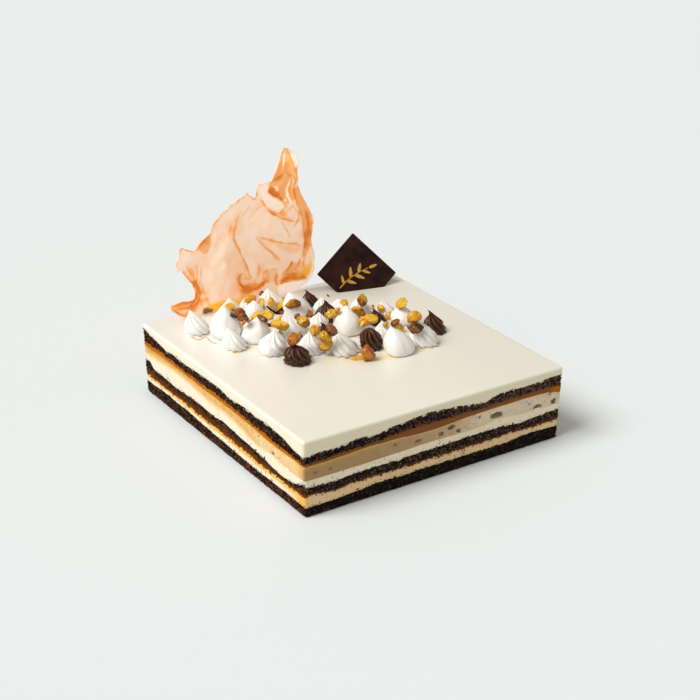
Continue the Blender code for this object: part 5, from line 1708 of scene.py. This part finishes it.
ripples = grain_of(flat, 6.5)
rolled = 0.35 + 1.3 * np.abs(grain_of(flat + 20, 3.5))
upper_left = (across < -12) & (height > 46)
rim_tint = np.where(upper_left, 1.3, 0.5) * np.where((height < 8) & (across > -60), 0.0, 1.0)
orange += rim_tint * rolled * np.exp(-(rim_gap / 0.8) ** 1.5)
forward += 0.7 * rolled * np.exp(-rim_gap) * (height > 3)
forward += 0.6 * ripples + 0.10 * grain_of(flat, 1.9)
gold = spots(wander[0], wander[1], GOLD_SPOTS)
foot_shadow = spots(wander[0], wander[1], SHEET_FOOT_SHADOW)

# Each place goes along the line of sight to the depth of the sheet there
flat[:, 1] = TUILE_DEPTH
flat[:, 2] += MOUSSE_TOP
depth = places[:, 1] - 0.75 * forward
depth += (TUILE_PEAK - depth) * np.clip((height - 92) / 12, 0, 1) ** 1.5
reach = (depth - eye.y) / (flat[:, 1] - eye.y)
places = np.array(eye) + (flat - np.array(eye)) * reach[:, None]
low_limit = np.array(solid_box[0]) / MM + 0.3
high_limit = np.array(solid_box[1]) / MM - 0.5
low_limit[2] = MOUSSE_TOP - 0.8
tuile.data.vertices.foreach_set("co", (np.clip(places, low_limit, high_limit) * MM).ravel())
for note, values in (("orange", orange), ("gold", gold), ("thin", thin), ("foot_shadow", foot_shadow)):
    kept = tuile.data.attributes.new(note, "FLOAT", "POINT")
    kept.data.foreach_set("value", values)
tuile.data.update()
thicken = tuile.modifiers.new("thicken", "SOLIDIFY")
thicken.thickness = TUILE_THICK
thicken.offset = 1
bpy.ops.object.modifier_apply(modifier="thicken")
bpy.ops.object.mode_set(mode="EDIT")
face_outwards()
tuile.data.shade_smooth()

# The sheet glows faintly in its own colour: painted light that stands for the light coming through it.
tuile_paint = Paint("baked_sugar", Subsurface_Weight=0.15, Subsurface_Scale=0.002,
                    Subsurface_Radius=(1.0, 0.55, 0.3), Emission_Strength=0.3,
                    Coat_Weight=0.25, Coat_Roughness=0.2)
blotch = tuile_paint.cloud(9, 4)
speck = tuile_paint.cloud(1.2, 4)
peach = tuile_paint.mix(PEACH, DEEP_PEACH, tuile_paint.between(blotch, 0.4, 0.7))
peach = tuile_paint.mix(peach, THIN_PEACH, tuile_paint.note("thin") * 0.8)
baked = tuile_paint.note("orange") + 0.14 * tuile_paint.between(blotch, 0.5, 0.8) + 0.12 * (speck - 0.5)
sheet_color = tuile_paint.mix(peach, BAKED_ORANGE, tuile_paint.between(baked, 0.02, 0.95))
sheet_color = tuile_paint.mix(sheet_color, BURNT_ORANGE, tuile_paint.between(baked, 0.85, 2.0))
sheet_color = tuile_paint.mix(sheet_color, BAKED_GOLD, tuile_paint.between(
    tuile_paint.note("gold") + 0.3 * (blotch - 0.5), 0.1, 1.3))
# A painted dark brown shadow at the sheet's foot.
sheet_color = tuile_paint.mix(sheet_color, PAINTED_SHADOW_BROWN, tuile_paint.between(
    tuile_paint.note("foot_shadow") + 0.4 * (speck - 0.5), 0.3, 1.3))
# Painted light: the glow takes the sheet's colour.
tuile_paint.feed(tuile_paint.shader.inputs["Emission Color"], sheet_color)
baked_sugar = tuile_paint.wear(
    color=sheet_color, roughness=0.32 + 0.2 * speck,
    alpha=1.0 - 0.3 * tuile_paint.between(tuile_paint.note("thin"), 0.3, 1.0),
    height=0.7 * blotch + 0.35 * speck, depth=0.25)
settle_on_cake(tuile, baked_sugar, "caramel_tuile", "caramel_tuile")
